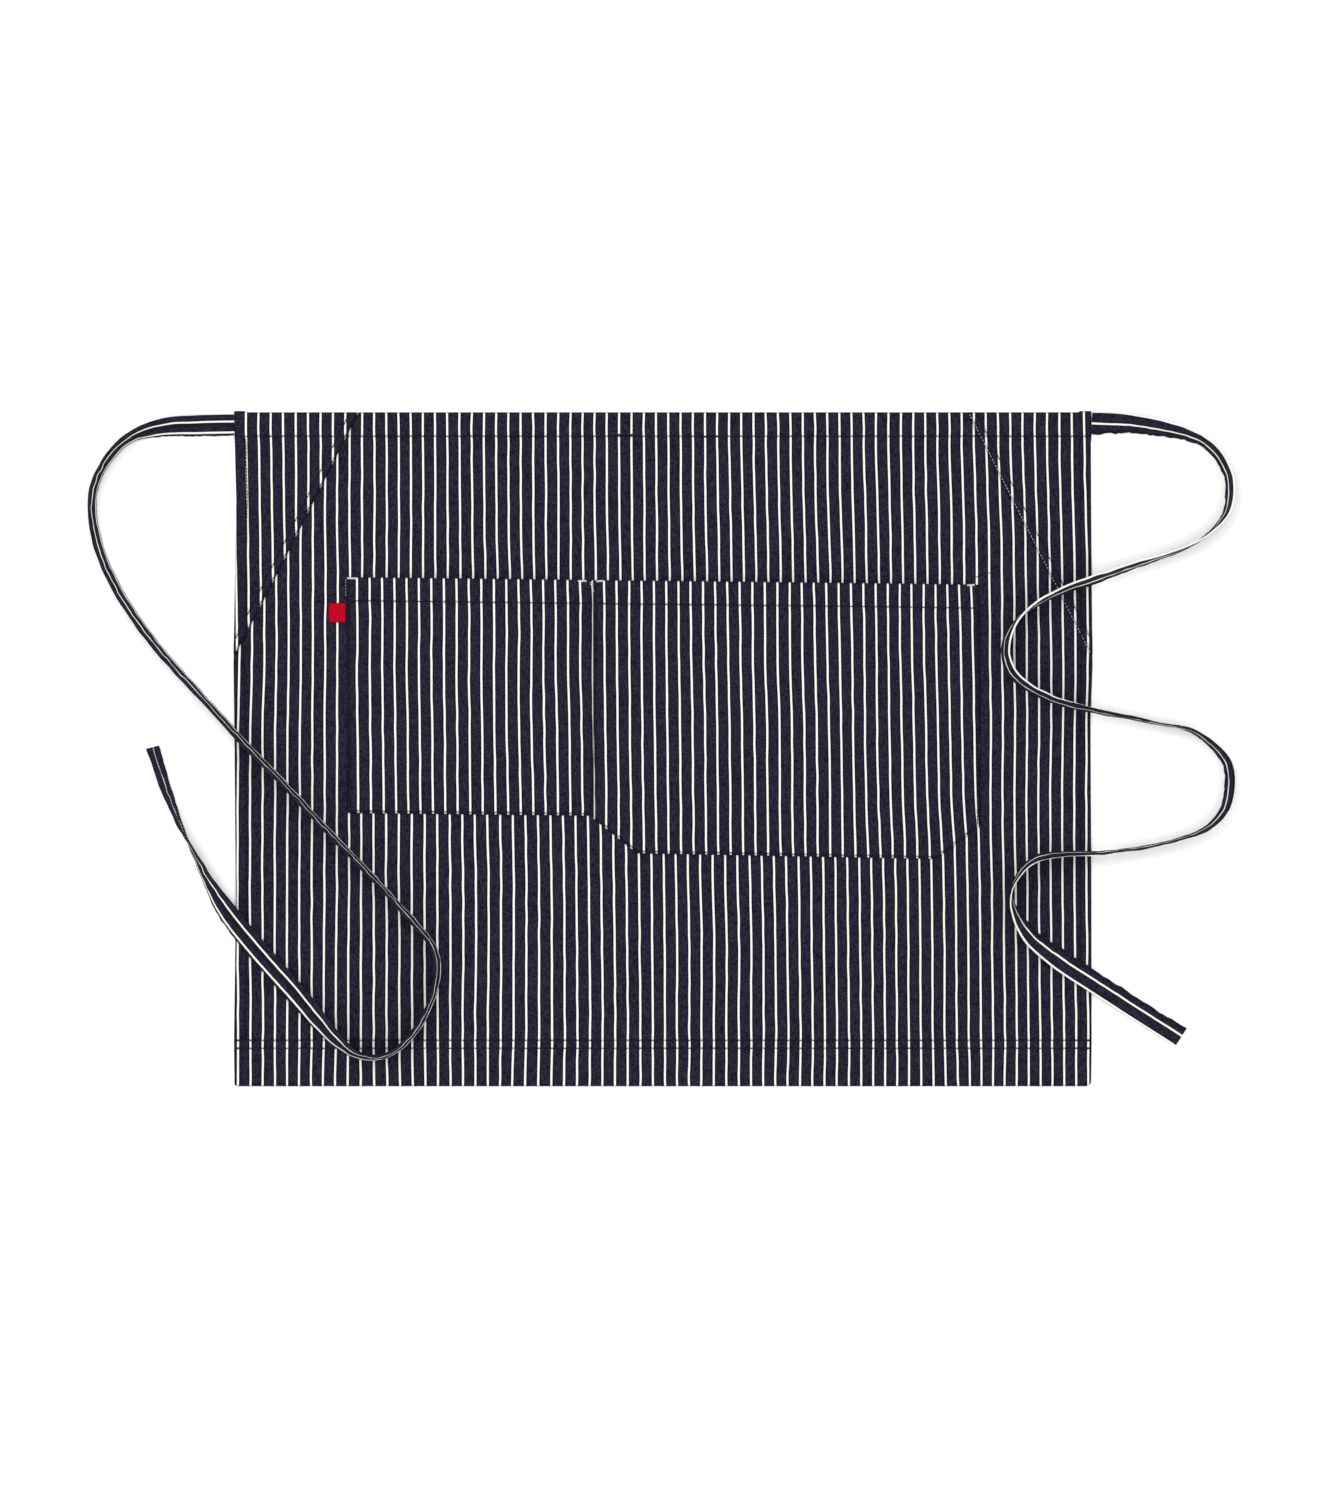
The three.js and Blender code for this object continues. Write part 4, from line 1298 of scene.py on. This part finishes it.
def make_bartacks(sizes):
    """Dark bartacks on the hems, light ones at the pocket mouths' ends and down the divider."""

    def small_height(x, y):
        return pocket_surface("small", x, y)[1]

    def large_height(x, y):
        return pocket_surface("large", x, y)[1]

    top = HALF_LENGTH
    side = HALF_WIDTH - 7.5 * MM
    first = BOTTOM_HEM - HALF_LENGTH
    second = BOTTOM_SECOND_ROW - HALF_LENGTH
    at_left = float(mouth_y(POCKET_LEFT))
    at_middle = float(mouth_y(DIVIDER))
    at_right = float(mouth_y(POCKET_RIGHT))
    # Columns: middle x, middle y, length, turn in degrees, surface
    dark_rows = (
        (-36.0 * MM, top - 21.5 * MM, 15 * MM, -1, panel_height),
        (45.5 * MM, top - 23.2 * MM, 15 * MM, 1, panel_height),
        (-side, first, 12 * MM, 0, panel_height),
        (-side, second, 12 * MM, 0, panel_height),
        (side, first, 12 * MM, 0, panel_height),
        (side, second, 12 * MM, 0, panel_height),
    )
    light_rows = (
        (POCKET_LEFT + 5.2 * MM, at_left - 1.0 * MM, 8 * MM, -2, small_height),
        (DIVIDER - 10.6 * MM, at_middle - 0.9 * MM, 7.4 * MM, 3, small_height),
        (DIVIDER - 1.4 * MM, at_middle - 6.5 * MM, 9 * MM, -78, small_height),
        (DIVIDER + 5.9 * MM, at_middle - 0.9 * MM, 5.6 * MM, 4, large_height),
        (POCKET_RIGHT - 8.4 * MM, at_right - 0.4 * MM, 6.6 * MM, 4, large_height),
    )
    plans = (
        ("bartacks_dark", dark_rows, dark_thread(sizes)),
        ("bartacks_light", light_rows, light_thread(sizes)),
    )
    for name, rows, finish in plans:
        tacks = [bartack((x, y), length, turn, height) for x, y, length, turn, height in rows]
        centres, ways = (np.concatenate(part) for part in zip(*tacks))
        normals = np.tile([0.0, 0.0, 1.0], (len(centres), 1))
        stitch_mesh(name, centres, ways, normals, 2.1 * MM, 0.3 * MM, finish, sink=0.35)


def make_loose_threads(sizes):
    """A loose dark thread beyond the large pocket and light backstitches by the small one."""
    dark = dark_thread(sizes)
    light = light_thread(sizes)
    x = POCKET_LEFT - 0.7 * MM
    top = float(mouth_y(POCKET_LEFT)) - 0.5 * MM
    line = line_between((x, top), (x, top - 18 * MM))
    surface_stitches(
        "backstitches", [line], panel_height, light,
        length=2.1 * MM, radius=0.2 * MM, pitch=2.6 * MM,
    )

    radius = 0.26 * MM
    start = np.array((POCKET_RIGHT - 4.6 * MM, float(mouth_y(POCKET_RIGHT)) + 5.4 * MM))
    at = np.linspace(0, 1, 26)
    xy = start + np.column_stack([25 * MM * at, 5.9 * MM * np.sin(0.8 * math.pi * at**0.75)])
    middle = np.column_stack([xy, panel_height(xy[:, 0], xy[:, 1]) + radius])
    ahead = np.gradient(middle, axis=0)
    ahead /= np.linalg.norm(ahead, axis=1)[:, None]
    across = np.column_stack([-ahead[:, 1], ahead[:, 0], 0 * at])
    up = np.cross(ahead, across)
    width = radius * rounded(np.minimum(at, 1 - at), 0.08)[:, None]
    sides = 6
    angles = [2 * math.pi * k / sides for k in range(sides)]
    rings = [middle + width * (across * math.cos(a) + up * math.sin(a)) for a in angles]
    points = np.stack(rings, 1).reshape(-1, 3)
    index = np.arange(len(points)).reshape(-1, sides)
    after = np.roll(index, -1, axis=1)
    faces = np.stack([index[:-1], after[:-1], after[1:], index[1:]], -1).reshape(-1, 4).tolist()
    faces += [index[0][::-1].tolist(), index[-1].tolist()]
    thread = mesh_object("loose_thread", points, faces, sharp=60)
    fix_normals(thread)
    thread.data.materials.append(dark)
    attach(thread, "root")


def make_tag(sizes):
    """The folded red label at the small pocket's outer edge, bare: two layers round a fold."""
    low, high = (Vector(v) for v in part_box("tag"))
    bend = 0.34 * MM
    run = high.x - low.x - bend - 0.25 * MM
    base = low.z + 0.28 * MM
    turn = np.linspace(math.pi / 2, 3 * math.pi / 2, 9)
    flat = np.linspace(high.x - 0.1 * MM, high.x - 0.1 * MM - run, 22)
    across_x = np.concatenate([flat, flat[-1] + bend * np.cos(turn[1:-1]), flat[::-1]])
    bow = 0.25 * MM * np.sin(np.linspace(0, math.pi, 22))
    across_z = np.concatenate([2 * bend + bow, bend + bend * np.sin(turn[1:-1]), 0 * bow])
    profile = np.column_stack([across_x, base + across_z])
    travel = np.gradient(profile, axis=0)
    travel /= np.linalg.norm(travel, axis=1)[:, None]
    outward = np.column_stack([travel[:, 1], -travel[:, 0]])
    measured = np.cumsum(np.concatenate([[0], np.linalg.norm(np.diff(profile, axis=0), axis=1)]))
    down = stations((0, 0.3 * MM, 0.1 * MM), (0.3 * MM, high.y - low.y - 0.3 * MM, 0.6 * MM))
    down = np.append(down, stations((high.y - low.y - 0.3 * MM, high.y - low.y, 0.1 * MM))[1:])
    y = np.repeat((high.y - down)[:, None], len(profile), axis=1)
    from_end = np.minimum(high.y - y, y - low.y)
    half = 0.2 * MM * rounded(from_end, 0.25 * MM)
    cockle = 0.07 * MM * waviness(y, measured + 0 * y, 4 * MM, 151)
    front, back = (
        np.stack([across_x + outward[:, 0] * out, y, profile[:, 1] + outward[:, 1] * out + cockle], -1)
        for out in (half, -half)
    )
    from_fold = np.abs(measured - measured[len(measured) // 2]) + 0 * y
    # Painted shade on the label's ends and along its fold, and a painted shadow where it tucks under
    # the pocket's edge.
    painted_edge_shade = 0.55 * (1 - ramp(np.minimum(from_end, from_fold + 0.3 * MM), 0.1 * MM, 0.8 * MM))
    painted_tuck_shadow = 0.5 * ramp(front[..., 0], high.x - 1.6 * MM, high.x - 0.3 * MM)
    painted_shade = np.maximum(painted_edge_shade, painted_tuck_shadow)
    label = closed_sheet("label", front, back, np.stack([measured + 0 * y, y], -1), painted_shade)
    fix_normals(label)
    dress(label, material("label_weave", red_ribbon, sizes), "tag_cloth", "tag")


def make_stage():
    """Floor, lights, world and the camera straight above."""
    bpy.ops.mesh.primitive_plane_add(size=6, location=(0, 0, 0))
    floor = bpy.context.active_object
    floor.name = "studio_floor"
    floor.data.materials.append(material("studio_paper", floor_finish))

    world = bpy.data.worlds.new("studio")
    world.use_nodes = True
    world.node_tree.nodes["Background"].inputs[0].default_value = (1, 1, 1, 1)
    world.node_tree.nodes["Background"].inputs[1].default_value = 1.15
    bpy.context.scene.world = world

    # Columns: name, place, width, power
    lamps = (
        ("key_light", (-1.5, 1.6, 3.0), 1.8, 42),
        ("fill_light", (2.0, -1.3, 3.0), 2.0, 16),
    )
    for name, place, width, power in lamps:
        lamp = bpy.data.lights.new(name, "AREA")
        lamp.shape = "SQUARE"
        lamp.size = width
        lamp.energy = power
        holder = bpy.data.objects.new(name, lamp)
        holder.location = place
        holder.rotation_euler = (-Vector(place)).to_track_quat("-Z", "Y").to_euler()
        bpy.context.collection.objects.link(holder)

    # The photograph is 1327 by 1500 pixels, with the body's middle at pixel 663, 749.25.
    lens = bpy.data.cameras.new("overhead")
    lens.lens = 85
    lens.sensor_width = 36
    camera = bpy.data.objects.new("overhead", lens)
    distance = PHOTO_HEIGHT * PHOTO_PIXEL * lens.lens / lens.sensor_width
    camera.location = (0.5 * PHOTO_PIXEL, -0.75 * PHOTO_PIXEL, distance)
    bpy.context.collection.objects.link(camera)
    bpy.context.scene.camera = camera
    bpy.context.scene.view_settings.view_transform = "Standard"


def paint(name, description, default):
    """A colour property."""
    return bpy.props.FloatVectorProperty(
        name=name, description=description, default=default, size=3, min=0, max=1, subtype="COLOR"
    )


class ApronSettings(bpy.types.PropertyGroup):
    """Sizes and colours of the apron's finish."""

    twill_spacing: bpy.props.FloatProperty(
        name="Twill spacing", description="Between the twill's diagonal ridges",
        default=0.95 * MM, min=0.2 * MM, precision=5, subtype="DISTANCE", unit="LENGTH",
    )
    navy_shade: paint(
        "Navy, shaded", "Darkest yarns of the ground", (0.0018, 0.0010, 0.0062)
    )
    navy_light: paint(
        "Navy, lit", "Lightest yarns of the ground", (0.0275, 0.0232, 0.0445)
    )
    # The dark yarns beside the stripes, and also the colour that the painted shade on seams and folded
    # edges darkens the cloth to.
    hairline_and_shade: paint(
        "Beside the stripes", "Darker yarns beside each stripe", (0.0030, 0.0014, 0.0065)
    )
    ivory: paint(
        "Ivory", "The stripes", (0.80, 0.79, 0.72)
    )
    ivory_shade: paint(
        "Ivory, shaded", "Hollows between the stripes' yarns", (0.50, 0.48, 0.42)
    )
    thread_shade: paint(
        "Dark thread, shaded", "Hollows of the dark sewing thread", (0.0020, 0.0010, 0.0050)
    )
    thread_light: paint(
        "Dark thread, lit", "Crests of the dark sewing thread", (0.0100, 0.0065, 0.0190)
    )
    silver_shade: paint(
        "Silver thread, shaded", "Hollows of the right corner's edge thread", (0.15, 0.15, 0.19)
    )
    silver_light: paint(
        "Silver thread, lit", "Crests of the right corner's edge thread", (0.62, 0.62, 0.67)
    )
    light_thread_shade: paint(
        "Light thread, shaded", "Hollows of the bartacks' thread", (0.35, 0.34, 0.33)
    )
    light_thread: paint(
        "Light thread, lit", "Crests of the bartacks' thread", (0.80, 0.79, 0.76)
    )
    red_shade: paint(
        "Red, shaded", "Hollows of the label's weave", (0.29, 0.0, 0.0085)
    )
    red_light: paint(
        "Red, lit", "Crests of the label's weave", (0.49, 0.0, 0.0165)
    )


class APRON_OT_stage(bpy.types.Operator):
    """Adds the floor, the lights and the camera"""

    bl_idname = "apron.stage"
    bl_label = "Stage"

    def execute(self, context):
        make_stage()
        return {"FINISHED"}


class APRON_OT_ties(bpy.types.Operator):
    """Adds the two waist ties with their stitching"""

    bl_idname = "apron.ties"
    bl_label = "Ties"

    def execute(self, context):
        for name in ("left", "right"):
            make_tie(context.scene.apron_settings, name)
        return {"FINISHED"}


class APRON_OT_main_panel(bpy.types.Operator):
    """Adds the main panel with its hems"""

    bl_idname = "apron.main_panel"
    bl_label = "Main panel"

    def execute(self, context):
        make_main_panel(context.scene.apron_settings)
        return {"FINISHED"}


class APRON_OT_corner_panels(bpy.types.Operator):
    """Adds the two pieced upper corners"""

    bl_idname = "apron.corner_panels"
    bl_label = "Corner panels"

    def execute(self, context):
        for side in (-1, 1):
            make_corner_panel(context.scene.apron_settings, side)
        return {"FINISHED"}


class APRON_OT_pockets(bpy.types.Operator):
    """Adds the small and the large patch pocket"""

    bl_idname = "apron.pockets"
    bl_label = "Pockets"

    def execute(self, context):
        make_pockets(context.scene.apron_settings)
        return {"FINISHED"}


class APRON_OT_label(bpy.types.Operator):
    """Adds the bare red label"""

    bl_idname = "apron.label"
    bl_label = "Label"

    def execute(self, context):
        make_tag(context.scene.apron_settings)
        return {"FINISHED"}


class APRON_OT_stitching(bpy.types.Operator):
    """Adds the stitch rows and bartacks of the body"""

    bl_idname = "apron.stitching"
    bl_label = "Stitching"

    def execute(self, context):
        settings = context.scene.apron_settings
        make_hem_stitches(settings)
        make_corner_stitches(settings)
        make_pocket_stitches(settings)
        make_bartacks(settings)
        make_loose_threads(settings)
        return {"FINISHED"}


STEPS = (
    APRON_OT_stage,
    APRON_OT_ties,
    APRON_OT_main_panel,
    APRON_OT_corner_panels,
    APRON_OT_pockets,
    APRON_OT_label,
    APRON_OT_stitching,
)


class APRON_PT_sidebar(bpy.types.Panel):
    """Lists the steps that make the apron"""

    bl_label = "Waist apron"
    bl_idname = "APRON_PT_sidebar"
    bl_space_type = "VIEW_3D"
    bl_region_type = "UI"
    bl_category = "Apron"

    def draw(self, context):
        for name in ApronSettings.__annotations__:
            self.layout.prop(context.scene.apron_settings, name)
        for step in STEPS:
            self.layout.operator(step.bl_idname)


CLASSES = (ApronSettings, *STEPS, APRON_PT_sidebar)


def register():
    for item in CLASSES:
        bpy.utils.register_class(item)
    bpy.types.Scene.apron_settings = bpy.props.PointerProperty(type=ApronSettings)


def unregister():
    del bpy.types.Scene.apron_settings
    for item in reversed(CLASSES):
        bpy.utils.unregister_class(item)


def main():
    """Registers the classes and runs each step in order."""
    register()
    bpy.ops.object.select_all(action="DESELECT")
    bpy.ops.apron.stage()
    bpy.ops.apron.ties()
    bpy.ops.apron.main_panel()
    bpy.ops.apron.corner_panels()
    bpy.ops.apron.pockets()
    bpy.ops.apron.label()
    bpy.ops.apron.stitching()


if __name__ == "__main__":
    main()
